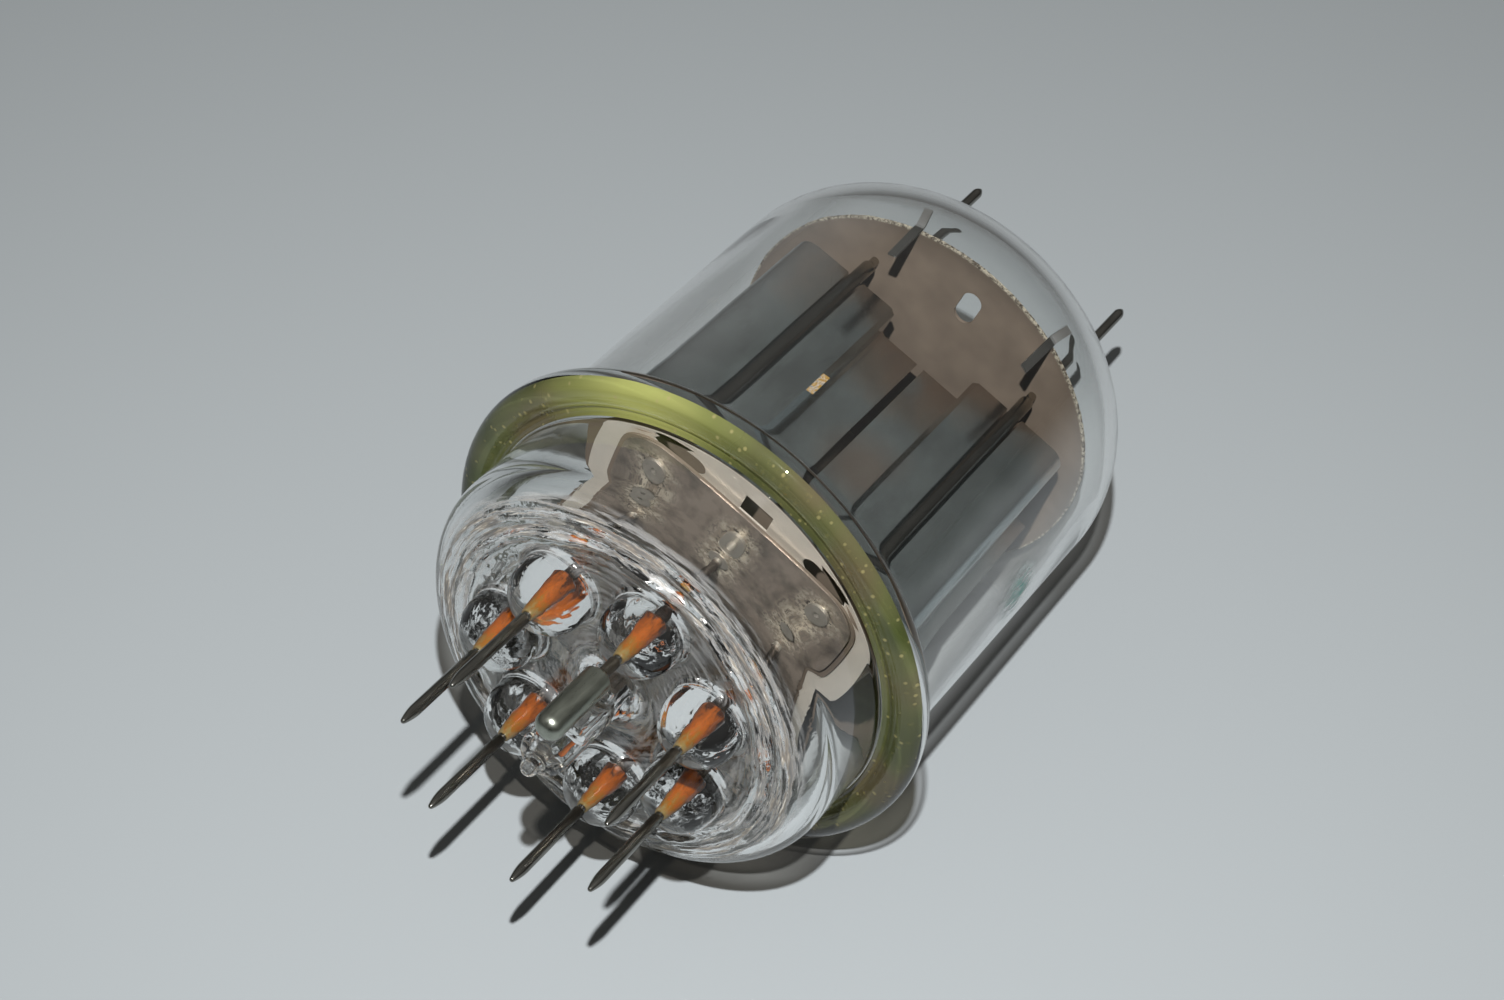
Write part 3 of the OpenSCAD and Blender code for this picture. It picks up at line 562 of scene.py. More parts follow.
class Growth(Tree):
    """A geometry node tree with named inputs."""

    def __init__(self, name, sizes):
        super().__init__(bpy.data.node_groups.new(name, "GeometryNodeTree"))
        sockets = [("Geometry", "INPUT", "NodeSocketGeometry")]
        sockets += [(size, "INPUT", "NodeSocketFloat") for size in sizes]
        sockets += [("Material", "INPUT", "NodeSocketMaterial"),
                    ("Geometry", "OUTPUT", "NodeSocketGeometry")]
        for label, way, kind in sockets:
            self.tree.interface.new_socket(label, in_out=way, socket_type=kind)
        self.given = self.add("NodeGroupInput").outputs

    def make(self, kind, **values):
        """Output of a new geometry node; values feed its inputs."""
        node = self.add("GeometryNode" + kind)
        return self.fill(node, {k.replace("_", " "): v for k, v in values.items()}).outputs[0]

    def rod(self, path, radius, sides):
        """A path swept with a round section and closed at its ends."""
        section = self.make("CurvePrimitiveCircle", Resolution=sides, Radius=radius)
        return self.make("CurveToMesh", Curve=path, Profile_Curve=section, Fill_Caps=True)

    def end(self, *geometry):
        """Ends the tree in one plain mesh with the material."""
        join = self.add("GeometryNodeJoinGeometry")
        for one in geometry:
            self.feed(join.inputs[0], one)
        whole = self.make("RealizeInstances", Geometry=join.outputs[0])
        whole = self.make("SetMaterial", Geometry=whole, Material=self.given["Material"])
        self.feed(self.add("NodeGroupOutput").inputs[0], whole)

    def mesh(self, **values):
        """The mesh that the tree makes with these values on its inputs."""
        holder = bpy.data.objects.new(self.tree.name, bpy.data.meshes.new(self.tree.name))
        modifier = holder.modifiers.new(self.tree.name, "NODES")
        modifier.node_group = self.tree
        for item in self.tree.interface.items_tree:
            key = item.name.replace(" ", "_")
            if item.in_out == "INPUT" and key in values:
                modifier[item.identifier] = values[key]
        return baked(holder)


def wound_grid():
    """Geometry nodes that wind a wire round two upright rods."""
    g = Growth("wound_grid", ("Width", "Depth", "Low", "High", "Pitch", "Wire", "Rod",
                              "Rod low", "Rod high"))
    size = g.given
    half = g.math("DIVIDE", size["Width"], 2.0)
    reach = g.math("ADD", half, g.math("DIVIDE", size["Rod"], 2.0))
    reach = g.math("SUBTRACT", reach, size["Wire"])
    depth = g.math("SUBTRACT", g.math("DIVIDE", size["Depth"], 2.0), size["Wire"])
    rise = g.math("SUBTRACT", size["High"], size["Low"])
    coil = g.make("CurveSpiral", Resolution=40, Rotations=g.math("DIVIDE", rise, size["Pitch"]),
                  Start_Radius=1.0, End_Radius=1.0, Height=rise)
    coil = g.make("Transform", Geometry=coil, Translation=g.vector(0.0, 0.0, size["Low"]),
                  Scale=g.vector(reach, depth, 1.0))
    stem = g.make("CurvePrimitiveLine", Start=g.vector(0.0, 0.0, size["Rod low"]),
                  End=g.vector(0.0, 0.0, size["Rod high"]))
    pair = g.make("MeshLine", Count=2, Offset=g.vector(size["Width"], 0.0, 0.0),
                  Start_Location=g.vector(g.math("MULTIPLY", half, -1.0), 0.0, 0.0))
    stems = g.make("InstanceOnPoints", Points=pair, Instance=g.rod(stem, size["Rod"], 24))
    g.end(g.rod(coil, size["Wire"], 6), stems)
    return g


class Nodes(Tree):
    """A material's tree, with the nodes that the finishes share."""

    def __init__(self, name):
        self.material = bpy.data.materials.new(name)
        self.material.use_nodes = True
        super().__init__(self.material.node_tree)
        self.tree.nodes.clear()
        self.out = self.add("ShaderNodeOutputMaterial").inputs["Surface"]
        self.shader = self.add("ShaderNodeBsdfPrincipled")
        self.feed(self.out, self.shader.outputs[0])

    def set(self, **values):
        """Constants and outputs for the shader's own sockets."""
        self.fill(self.shader, {k.replace("_", " "): v for k, v in values.items()})

    def upright(self, stretch=(1, 1, 1)):
        """Object coordinates turned back onto the upright tube, in millimetres."""
        return self.fill(self.add("ShaderNodeMapping", vector_type="TEXTURE"), {
            "Vector": self.add("ShaderNodeTexCoord").outputs["Object"],
            "Location": laid().to_translation(), "Rotation": laid().to_euler(),
            "Scale": [MM * s for s in stretch]}).outputs["Vector"]

    def height(self):
        """Height on the upright tube in millimetres."""
        return self.parts(self.upright())["Z"]

    def noise(self, vector, scale, detail=2.0, roughness=0.5):
        """Noise from 0 to 1."""
        return self.fill(self.add("ShaderNodeTexNoise"), {
            "Vector": vector, "Scale": scale, "Detail": detail,
            "Roughness": roughness}).outputs["Fac"]

    def near(self, value, target, reach):
        """1 where the value is within reach of the target."""
        node = self.add("ShaderNodeMath", operation="COMPARE")
        return self.fill(node, {0: value, 1: target, 2: reach}).outputs[0]

    def away(self, place, centre):
        """Distance from a place."""
        node = self.add("ShaderNodeVectorMath", operation="DISTANCE")
        return self.fill(node, {0: place, 1: centre}).outputs["Value"]

    def mix(self, share, a, b):
        """Colour a, or colour b where the share is 1."""
        node = self.add("ShaderNodeMix", data_type="RGBA")
        return self.fill(node, {"Factor": share, 6: a, 7: b}).outputs[2]

    def cloudy(self, cloud, colour, darker, brighter, start=0.3, end=0.7):
        """A colour made darker and brighter by a cloud."""
        return self.ramp(cloud, ((start, times(colour, darker)), (end, times(colour, brighter))))

    def bump(self, height, strength, distance):
        """Adds a bump to the shader."""
        node = self.fill(self.add("ShaderNodeBump"), {
            "Height": height, "Strength": strength, "Distance": distance})
        self.set(Normal=node.outputs["Normal"])

    def edge(self):
        """0 where a surface is faced, 1 where it is seen edge on."""
        return self.fill(self.add("ShaderNodeLayerWeight"), {"Blend": 0.5}).outputs["Facing"]

    def clear_shadow(self, dark, bright, share=None):
        """Lets lamps through: dark where the glass is seen edge on, bright where it is faced."""
        light = self.ramp(self.edge(), ((0.5, bright), (0.95, dark)))
        if share:
            light = self.mix(share, light, SHADE)
        through = self.fill(self.add("ShaderNodeBsdfTransparent"), {"Color": light})
        mix = self.fill(self.add("ShaderNodeMixShader"), {
            0: self.add("ShaderNodeLightPath").outputs["Is Shadow Ray"],
            1: self.shader.outputs[0], 2: through.outputs[0]})
        self.feed(self.out, mix.outputs[0])


def times(colour, k):
    """A colour made lighter or darker."""
    return tuple(min(1.0, c * k) for c in colour)


def clear_glass():
    """Blown glass with a faint waviness, a stamped gold bar, a smear of ink and painted light."""
    n = Nodes("clear_glass")
    c = settings().colours
    place = n.upright()
    split = n.parts(place)
    height = split["Z"]
    bar = n.spread(n.noise(place, 3.5, 3.0, 0.7), 0.3, 1.0, 0.4, 0.5)
    for axis, (middle, half) in GOLD_BAR.items():
        bar = n.math("MULTIPLY", bar, n.near(split[axis], middle, half))
    streak = n.spread(n.noise(n.upright((1, 0.5, 2.5)), 0.9, 3.0, 0.7), 0.0, 1.0, 0.44, 0.54)
    smear = n.math("MULTIPLY", n.spread(n.away(place, INK_SPOT), 1.0, 0.0, 1.0, 4.2), streak)
    # Painted streaks: the brown plate seen through the fused ring, and glints, painted onto the
    # glass
    streaks, tone = molten(n, split)
    tone = n.mix(smear, n.mix(streaks, c.glass, tone), c.ink)
    # ink takes in the gold bar, the ink smear and the painted streaks
    ink = n.math("MAXIMUM", bar, smear, streaks)
    # Painted light: on the bulb the glass turns partly to a whitish veil where it is seen edge on,
    # for light that the curved glass gathers
    painted_edge_light = n.math("MULTIPLY", n.spread(n.edge(), 0.0, 0.22, 0.4, 0.95),
                  n.spread(height, 0.0, 1.0, 34.0, 40.0))
    domes = n.spread(height, 1.0, 0.0, 16.3, 17.6)
    # Painted light: a faint diffuse share on the domes lightens their darkest spots; veil also
    # holds the gold bar, the ink and the painted streaks
    veil = n.math("MAXIMUM", ink, painted_edge_light, n.math("MULTIPLY", domes, 0.012))
    n.set(IOR=1.5, Base_Color=n.mix(bar, tone, c.gold),
          Transmission_Weight=n.spread(veil, 1.0, 0.1, 0.0, 1.0),
          Roughness=n.spread(ink, 0.0, 0.6, 0.0, 1.0),
          Specular_IOR_Level=n.spread(bar, 0.5, 0.0, 0.0, 0.3))
    inner = n.math("MULTIPLY", n.near(height, 19.4, 0.35), n.noise(place, 0.6, 3.0, 0.6))
    soft = n.math("MULTIPLY", n.noise(n.upright((1, 1, 3)), 0.22, 1.0), 0.4)
    swirl = n.math("MULTIPLY", domes, 5.0, n.noise(n.upright((1, 1, 2.5)), 0.45, 2.0, 0.6))
    n.bump(n.math("ADD", inner, soft, swirl), 0.18, 0.0002)
    shade = n.math("ADD", n.spread(height, 1.0, 0.0, 19.6, 22.5),
                   n.spread(height, 0.0, 0.7, 71.0, 75.0))
    n.clear_shadow((0.2, 0.19, 0.18), (0.95, 0.945, 0.94), shade)
    return n.material


def molten(n, split):
    """Share and colour of painted streaks round the fused ring: a painted refraction of the brown
    plate and painted glints.
    """
    x, y, z = split
    r = n.math("POWER", n.math("ADD", n.math("MULTIPLY", x, x), n.math("MULTIPLY", y, y)), 0.5)
    turn = n.math("ARCTAN2", y, x)
    polar = n.vector(n.math("MULTIPLY", r, 2.0), n.math("MULTIPLY", turn, 3.0), 0.0)
    streak = n.noise(polar, 1.0, 4.0, 0.7)
    other = n.noise(polar, 2.3, 3.0, 0.7)
    ring = settings().envelope.ridge_r / MM
    zone = n.math("MULTIPLY", n.spread(r, 0.22, 1.0, ring - 1.6, ring - 0.2),
                  n.spread(r, 1.0, 0.0, ring + 2.8, ring + 4.4),
                  n.spread(z, 1.0, 0.0, 19.2, 19.45), n.spread(z, 0.0, 1.0, 16.2, 17.0))
    share = n.math("MULTIPLY", zone, n.spread(streak, 0.0, 0.85, 0.46, 0.56))
    # Bronze and dark tones are a painted refraction of the brown plate; the whitest stop is a
    # painted glint
    tone = n.ramp(other, ((0.42, (0.03, 0.022, 0.016)), (0.52, (0.17, 0.125, 0.08)),
                          (0.6, (0.36, 0.29, 0.20)), (0.66, (0.95, 0.90, 0.80))))
    return share, tone


def seal_glass():
    """Cloudy olive green sealing glass inside the flange, with small bubbles and a painted glow of
    gathered lamp light.
    """
    n = Nodes("seal_glass")
    place = n.upright()
    tone = n.ramp(n.noise(place, 0.09, 2.0), (
        (0.35, (0.12, 0.15, 0.045)), (0.5, settings().colours.seal), (0.65, (0.27, 0.23, 0.12))))
    # Painted glow: brighter yellow green round one spot stands in for lamp light gathered in the
    # flange
    painted_glow = n.spread(n.away(place, SEAL_PAINTED_GLOW), 1.0, 0.0, 2.0, 14.0)
    cells = n.fill(n.add("ShaderNodeTexVoronoi"), {"Vector": place, "Scale": 0.9})
    bubble = n.spread(cells.outputs["Distance"], 0.8, 0.0, 0.1, 0.22)
    tone = n.mix(bubble, n.mix(painted_glow, tone, (0.72, 0.75, 0.25)), (0.75, 0.66, 0.30))
    n.set(Roughness=0.2, IOR=1.05, Transmission_Weight=0.6, Base_Color=tone)
    n.clear_shadow((0.3, 0.28, 0.24), (0.45, 0.43, 0.38))
    return n.material


def metal(name, colour, roughness, grain=(1, 1, 1), scale=0.8):
    """Metal with a grain; grain stretches it along the tube."""
    n = Nodes(name)
    place = n.upright(grain)
    cloud = n.noise(place, scale, 4.0, 0.6)
    n.set(Metallic=1.0, Base_Color=n.cloudy(cloud, colour, 0.76, 1.12),
          Roughness=n.spread(cloud, roughness * 0.8, roughness * 1.25))
    n.bump(n.noise(place, scale * 6, 3.0), 0.05, 0.0001)
    return n.material


def streaky(n, grain, scale, colour):
    """A cloud along the tube, and the colour that it gives."""
    cloud = n.noise(n.upright(grain), scale, 4.0, 0.6)
    return cloud, n.cloudy(cloud, colour, 0.7, 1.15)


def pin_metal():
    """Drawn pin metal, nearly black where a base pin's wire is inside the dish."""
    n = Nodes("pin_metal")
    cloud, tone = streaky(n, (1, 1, 8), 2.0, settings().colours.pin)
    inside = n.near(n.height(), 20.2, 2.9)
    dull = n.math("MULTIPLY", inside, 0.6)
    n.set(Metallic=1.0, Base_Color=n.mix(inside, tone, (0.03, 0.02, 0.015)),
          Roughness=n.math("ADD", n.spread(cloud, 0.13, 0.24), dull))
    return n.material


def rod_metal():
    """Dark polished rod with a painted highlight: a paler end under the disc."""
    n = Nodes("rod_metal")
    c, s = settings().colours, settings().electrodes
    cloud, tone = streaky(n, (1, 1, 6), 0.8, c.rod)
    end = (s.disc_z - s.rod_gap) / MM
    # Painted highlight: the rod's end under the disc is paler, for the lamp's glint on its rounded
    # end
    pale = n.spread(n.height(), 0.0, 1.0, end - 3.0, end - 0.3)
    n.set(Metallic=1.0, Base_Color=n.mix(pale, tone, (0.42, 0.37, 0.30)),
          Roughness=n.spread(cloud, 0.1, 0.2))
    return n.material


def anode_metal():
    """Slate metal with dull blotches, and a painted reflection of the brown disc near the top edge
    and round one spot.
    """
    n = Nodes("anode_metal")
    c, s = settings().colours, settings().electrodes
    cloud, tone = streaky(n, (1, 1, 2), 0.12, c.anode)
    height = n.math("ADD", n.height(), n.spread(cloud, -6.0, 6.0))
    # Painted reflection of the brown disc: brown towards the top edge and round one spot on a strip
    painted_reflection_top = n.spread(height, 0.0, 0.75, s.high / MM - 9, s.high / MM)
    low = n.spread(n.away(n.upright(), DISC_REFLECTION_SPOT), 0.65, 0.0, 2.0, 6.5)
    n.set(Metallic=1.0, Roughness=n.spread(cloud, 0.14, 0.26),
          Base_Color=n.mix(n.math("MAXIMUM", painted_reflection_top, low), tone, (0.40, 0.30, 0.23)))
    return n.material


def nickel():
    """Dull nickel; the leads below the deck are darker, and the eyelet heads are paler as a painted
    highlight.
    """
    n = Nodes("nickel")
    c, deck = settings().colours, settings().electrodes.deck_z / MM
    cloud, tone = streaky(n, (1, 1, 1), 0.8, times(c.plate, 0.8))
    below = n.spread(n.height(), 1.0, 0.0, deck - 1.6, deck - 1.2)
    # Painted highlight: the eyelet heads are paler, for the glint on their rolled rims
    head = n.near(n.height(), deck - 0.2, 0.8)
    tone = n.mix(below, n.mix(head, tone, (0.34, 0.315, 0.27)), times(c.plate, 0.22))
    n.set(Metallic=0.6, Base_Color=tone, Roughness=n.spread(cloud, 0.35, 0.6))
    return n.material


def amber_oxide():
    """Oxide under glass, deep orange inside and yellow where the pin leaves the glass."""
    n = Nodes("amber_oxide")
    c = settings().colours.amber
    level = n.spread(n.height(), 0.0, 1.0, 12.4, 17.5)
    cloud = n.noise(n.upright((1, 1, 2.5)), 2.6, 3.0, 0.6)
    tone = n.ramp(n.math("ADD", level, n.spread(cloud, -0.24, 0.2)), (
        (0.0, (0.60, 0.44, 0.16)), (0.25, (0.66, 0.27, 0.02)), (0.55, c),
        (0.85, times(c, 0.65)), (1.0, times(c, 0.12))))
    n.set(Roughness=0.4, Specular_IOR_Level=0.2, Coat_Weight=0.7, Coat_Roughness=0.05,
          Base_Color=tone)
    return n.material


def deck_nickel():
    """Satin nickel: a cloudy, spattered plate over a smoother shield."""
    n = Nodes("deck_nickel")
    c, s = settings().colours, settings().electrodes
    place = n.upright()
    cloud = n.noise(place, 0.28, 4.0, 0.6)
    plate = n.cloudy(cloud, c.plate, 0.5, 1.2, 0.35, 0.6)
    shield = n.cloudy(cloud, c.shield, 0.9, 1.05)
    on_shield = n.spread(n.height(), 0.0, 1.0, 31.1, 31.2)
    fold = n.fill(n.add("ShaderNodeVectorMath", operation="ABSOLUTE"), {0: place}).outputs[0]
    z = (s.deck_z + s.plate_t / 2) / MM
    x, y = s.eyelet_x / MM, s.eyelet_y / MM
    ring = n.math("MINIMUM", n.away(fold, (x, y, z)), n.away(fold, (0, y, z)))
    pool = n.math("MINIMUM", n.away(fold, (x - 0.6, y - 2.2, z)), n.away(fold, (0, y - 1.6, z)))
    dark = n.math("MULTIPLY", n.spread(ring, 0.0, 1.0, 1.25, 1.4),
                  n.spread(ring, 1.0, 0.0, 1.5, 1.9))
    dust = n.math("MULTIPLY", n.spread(n.math("MINIMUM", ring, pool), 1.0, 0.0, 1.2, 3.4),
                  n.spread(n.noise(place, 2.6, 3.0, 0.7), 0.0, 1.0, 0.4, 0.52))
    pale = n.ramp(n.noise(place, 1.1), ((0.4, (0.36, 0.30, 0.23)), (0.6, (0.75, 0.67, 0.53))))
    tone = n.mix(dark, n.mix(on_shield, plate, shield), times(c.plate, 0.2))
    n.set(Metallic=0.4, Roughness=n.spread(cloud, 0.28, 0.45), Base_Color=n.mix(dust, tone, pale))
    n.bump(cloud, 0.12, 0.0002)
    return n.material


def spring_steel():
    """Dark strip below the disc, dull grey above it."""
    n = Nodes("spring_steel")
    c, s = settings().colours, settings().electrodes
    top = (s.disc_z + s.plate_t) / MM
    above = n.spread(n.height(), 0.0, 1.0, top - 0.1, top + 0.1)
    n.set(Roughness=0.5, Specular_IOR_Level=0.3,
          Base_Color=n.mix(above, times(c.rod, 0.3), (0.30, 0.31, 0.31)))
    return n.material


def split_mica():
    """Brown mica with a gloss and a bright flaky rim."""
    n = Nodes("mica")
    c, rim_r = settings().colours, settings().electrodes.disc_r / MM
    place = n.upright()
    flake = n.noise(place, 2.2, 3.0, 0.8)
    flat = n.fill(n.add("ShaderNodeVectorMath", operation="MULTIPLY"), {0: place, 1: (1, 1, 0)})
    rim = n.spread(n.away(flat.outputs[0], (0, 0, 0)), 0.0, 1.0, rim_r - 0.35, rim_r - 0.15)
    tone = n.cloudy(n.noise(place, 0.12, 3.0, 0.6), c.mica, 0.72, 1.15)
    edge = n.ramp(flake, ((0.42, times(c.mica, 0.5)), (0.58, c.mica_edge)))
    n.set(Roughness=0.7, Specular_IOR_Level=0.05, Base_Color=n.mix(rim, tone, edge))
    n.bump(flake, 0.08, 0.0002)
    return n.material


def oxide_white():
    """Matt white oxide with a soft cloud."""
    n = Nodes("oxide_white")
    cloud = n.noise(n.upright(), 1.5, 4.0, 0.6)
    n.set(Roughness=0.7, Base_Color=n.cloudy(cloud, settings().colours.oxide, 0.9, 1.1))
    n.bump(cloud, 0.1, 0.0001)
    return n.material


def floor_finish():
    """Pale cool grey table top."""
    n = Nodes("floor_finish")
    cloud = n.noise(n.add("ShaderNodeTexCoord").outputs["Object"], 3.0, 2.0)
    tone = n.cloudy(cloud, settings().colours.floor, 0.985, 1.015, 0.2, 0.8)
    n.set(Roughness=0.6, Specular_IOR_Level=0.2, Base_Color=tone)
    return n.material


FINISHES = {}


def finish(name):
    """The finish of that name, made once."""
    c = settings().colours
    makers = {
        "clear_glass": clear_glass,
        "seal_glass": seal_glass,
        "oxide_seal": amber_oxide,
        "pin_metal": pin_metal,
        "sleeve_metal": lambda: metal("sleeve_metal", c.sleeve, 0.3, (1, 1, 5), 1.2),
        "anode_metal": anode_metal,
        "rod_metal": rod_metal,
        "deck_nickel": deck_nickel,
        "spring_steel": spring_steel,
        "nickel": nickel,
        "grid_wire": lambda: metal("grid_wire", c.plate, 0.35),
        "getter_metal": lambda: metal("getter_metal", times(c.rod, 1.5), 0.5),
        "mica": split_mica,
        "oxide_white": oxide_white,
    }
    if name not in FINISHES:
        FINISHES[name] = makers[name]()
    return FINISHES[name]


def dome_profile(radius, drop, fillet):
    """Reach and depth of a glass dome against the distance along its skin."""
    reach = math.sqrt((radius + fillet) ** 2 - (fillet - drop) ** 2)
    lean = math.degrees(math.atan2(drop - fillet, reach))
    skin = arc(0, -drop, radius, -90, lean, 30)
    skin += arc(reach, -fillet, fillet, 180 + lean, 90, 8)[1:]
    skin = np.array(skin)
    steps = np.hypot(*np.diff(skin, axis=0).T)
    along = np.concatenate([[0], np.cumsum(steps)])
    return along / along[-1], skin[:, 0], skin[:, 1], reach


def raise_dome(verts, chosen, centre, profile, ground):
    """Moves the chosen points near centre onto a dome; ground gives the height under it."""
    share, out, depth, reach = profile
    centre = np.array(centre)
    local = verts[chosen][:, :2] - centre
    away = np.hypot(local[:, 0], local[:, 1])
    near = away < reach
    rows = np.flatnonzero(chosen)[near]
    s = away[near] / reach
    new_away = np.interp(s, share, out)
    turn = local[near] / np.maximum(away[near], 1e-9)[:, None]
    verts[rows, :2] = centre + turn * new_away[:, None]
    verts[rows, 2] = ground(verts[rows]) + np.interp(s, share, depth)


def outer_outline(e, g):
    """Outside of the envelope, from the exhaust tip to the top of the dome."""
    start = e.tip_z + e.tip_ball_r
    neck_a = 40
    neck_r = e.tip_ball_r * math.cos(math.radians(neck_a))
    round_r = e.tip_tube_r - neck_r
    shoulder = start + e.tip_ball_r * math.sin(math.radians(neck_a)) + round_r
    tip = arc(0, start, e.tip_ball_r, -90, neck_a, 12)
    tip += arc(neck_r, shoulder, round_r, -70, 0, 10)
    tip += refine([tip[-1], (e.tip_tube_r, e.floor_z - e.tip_flare)], 0.5 * MM)[1:]
    tip += arc(e.tip_tube_r + e.tip_flare, e.floor_z - e.tip_flare, e.tip_flare, 180, 90, 12)
    fine_r = 14 * MM
    floor = refine([tip[-1], (fine_r, e.floor_z)], 0.35 * MM)
    floor += refine([floor[-1], (e.dish_r - e.corner_r, e.floor_z)], 0.13 * MM)
    corner = arc(e.dish_r - e.corner_r, e.floor_z + e.corner_r, e.corner_r, -90, 0, 18)
    under = arc(g.under_x, e.flange_z - g.under_drop, e.under_r, 180, g.under_a, 6)
    wall = refine([corner[-1], under[0]], 0.8 * MM)
    bead = arc(g.bead_mid, e.flange_z, e.bead_r, g.under_a - 180, g.flare_a, 30)
    flare = arc(g.flare_x, e.flange_z + g.flare_rise, e.flare_r, 180 + g.flare_a, 180, 12)
    side = refine([flare[-1], (e.bulb_r, e.shoulder_z)], 4 * MM)
    shoulder_arc = arc(g.shoulder_x, e.shoulder_z, e.shoulder_r, 0, g.cap_a, 22)
    cap = arc(0, g.cap_z, g.cap_r, g.cap_a, 90, 44)
    cap[-1] = (0.0, cap[-1][1])
    tip[0] = (0.0, tip[0][1])
    return clean(tip + floor + corner + wall + under + bead + flare + side + shoulder_arc + cap)


def inner_outline(e, g):
    """Inside of the envelope, from the top of the dome to the end of the exhaust bore."""
    w = e.bulb_wall
    dish_in = e.dish_r - e.dish_wall
    bore_r = e.tip_tube_r - e.tip_wall
    bore_low = e.tip_z + 2 * e.tip_ball_r + e.tip_tube_r + bore_r
    cap = arc(0, g.cap_z, g.cap_r - w, 90, g.cap_a, 22)
    cap[0] = (0.0, cap[0][1])
    shoulder = arc(g.shoulder_x, e.shoulder_z, e.shoulder_r - w, g.cap_a, 0, 16)
    seal = [(e.bulb_r - w, e.flange_z + 3 * MM), (e.bulb_r - w - 0.2 * MM, e.flange_z + 1 * MM),
            (dish_in + 0.9 * MM, e.flange_z - 0.4 * MM), (dish_in, e.flange_z - 1.6 * MM)]
    corner = arc(e.dish_r - e.corner_r, e.floor_z + e.corner_r, e.corner_r - e.dish_wall,
                 0, -90, 10)
    lip = 0.8 * MM
    mouth = arc(bore_r + lip, g.inner_floor - lip, lip, 90, 180, 5)
    floor = refine([corner[-1], mouth[0]], 1.2 * MM)
    end = arc(0, bore_low + bore_r, bore_r, 0, -90, 8)
    end[-1] = (0.0, end[-1][1])
    return clean(cap + shoulder + refine(seal, 0.5 * MM) + corner + floor + mouth + end)


def ripple_floor(verts, e):
    """Depth of the molten rings and streaks round the fused button; domes stay smooth."""
    r = np.hypot(verts[:, 0], verts[:, 1]) / MM
    turn = np.arctan2(verts[:, 1], verts[:, 0])
    ring = e.ridge_r / MM
    wander = 0.35 * np.sin(3 * turn + 0.7) + 0.2 * np.sin(7 * turn + 2.1)
    main = np.exp(-((r - ring - 0.4 * wander) / 0.7) ** 2)
    drop = e.ridge_h / MM * main * (1 + 0.25 * np.sin(11 * turn + 1.3))
    drop += 0.3 * np.exp(-((r - ring - 1.9 + 0.5 * wander) / 0.45) ** 2)
    rng = np.random.default_rng(5)
    for i in range(STREAKS):
        inside = i % 3 == 0
        place = rng.uniform(14.5, 19.0) if inside else rng.uniform(18.4, 21.8)
        phase, phase2, width = rng.uniform(0, 6.3), rng.uniform(0, 6.3), rng.uniform(0.12, 0.3)
        path = place + 0.4 * np.sin(2 * turn + phase) + 0.12 * np.sin(9 * turn + phase2)
        part = np.clip(np.sin(rng.integers(2, 6) * turn + phase2) + 0.4, 0, 1)
        size = 0.1 if inside else 0.3
        drop += rng.uniform(-0.8, 1.0) * size * part * np.exp(-((r - path) / width) ** 2)
    zone = np.exp(-((r - ring) / 2.6) ** 2)
    rough = np.array([noise.noise(Vector((x / MM * 0.9, y / MM * 0.9, 3.0)))
                      + 0.5 * noise.noise(Vector((x / MM * 2.3, y / MM * 2.3, 9.0)))
                      for x, y in verts[:, :2]])
    drop += 0.16 * zone * rough
    height = (e.floor_z - verts[:, 2]) / MM
    return drop * (1 - np.clip(height / 0.9, 0, 1)) * MM


class TUBE_OT_envelope(Operator):
    """Blow the envelope: dish, domes, exhaust tip, flange and bulb as one fused glass."""
    bl_idname = "tube.envelope"
    bl_label = "Glass envelope"

    def execute(self, context):
        e, anode_x = settings().envelope, settings().pins.anode_x
        g = Glass(e)
        verts, faces = lathe(outer_outline(e, g), TURNS)
        verts = np.array(verts)
        r = np.hypot(verts[:, 0], verts[:, 1])
        on_floor = np.abs(verts[:, 2] - e.floor_z) < 1e-6
        on_floor &= r > e.tip_tube_r + e.tip_flare * 0.98
        profile = dome_profile(e.dome_r, e.dome_drop, e.dome_fillet)
        for k in range(PINS):
            raise_dome(verts, on_floor, pin_spot(k), profile, lambda v: e.floor_z)
        r = np.hypot(verts[:, 0], verts[:, 1])
        near_floor = (verts[:, 2] < e.floor_z + 0.9 * e.corner_r) & (r > MOLTEN_R)
        verts[near_floor, 2] -= ripple_floor(verts[near_floor], e)
        high = verts[:, 2] > e.shoulder_z + 4 * MM
        share, out, depth, reach = dome_profile(e.anode_dome_r, e.anode_drop, e.anode_fillet)
        for side, _ in SIDES:
            raise_dome(verts, high, (side * anode_x, 0.0), (share, out, -depth, reach),
                       lambda v: g.cap_z + np.sqrt(g.cap_r ** 2 - v[:, 0] ** 2 - v[:, 1] ** 2))
        inner_verts, inner_faces = lathe(inner_outline(e, g), TURNS)
        shift = len(verts)
        verts = [tuple(v) for v in verts] + inner_verts
        faces += [tuple(i + shift for i in f) for f in inner_faces]
        as_piece("envelope", verts, faces, "clear_glass", ["bulb", "base_dish"])
        return {"FINISHED"}


class TUBE_OT_seal_ring(Operator):
    """Put the olive green sealing glass inside the flange."""
    bl_idname = "tube.seal_ring"
    bl_label = "Sealing glass"

    def execute(self, context):
        e = settings().envelope
        g = Glass(e)
        r = e.bead_r - e.seal_skin
        outline = arc(g.bead_mid, e.flange_z, r, -math.degrees(math.asin(e.seal_low / r)),
                      -math.degrees(math.asin(e.seal_high / r)), 10)
        inner = e.bulb_r - e.bulb_wall + 0.12 * MM
        outline += [(inner, e.flange_z - e.seal_high), (inner, e.flange_z - e.seal_low)]
        turned("sealing_glass", outline, "seal_glass", ["seal_ring"], segments=128, closed=True)
        return {"FINISHED"}


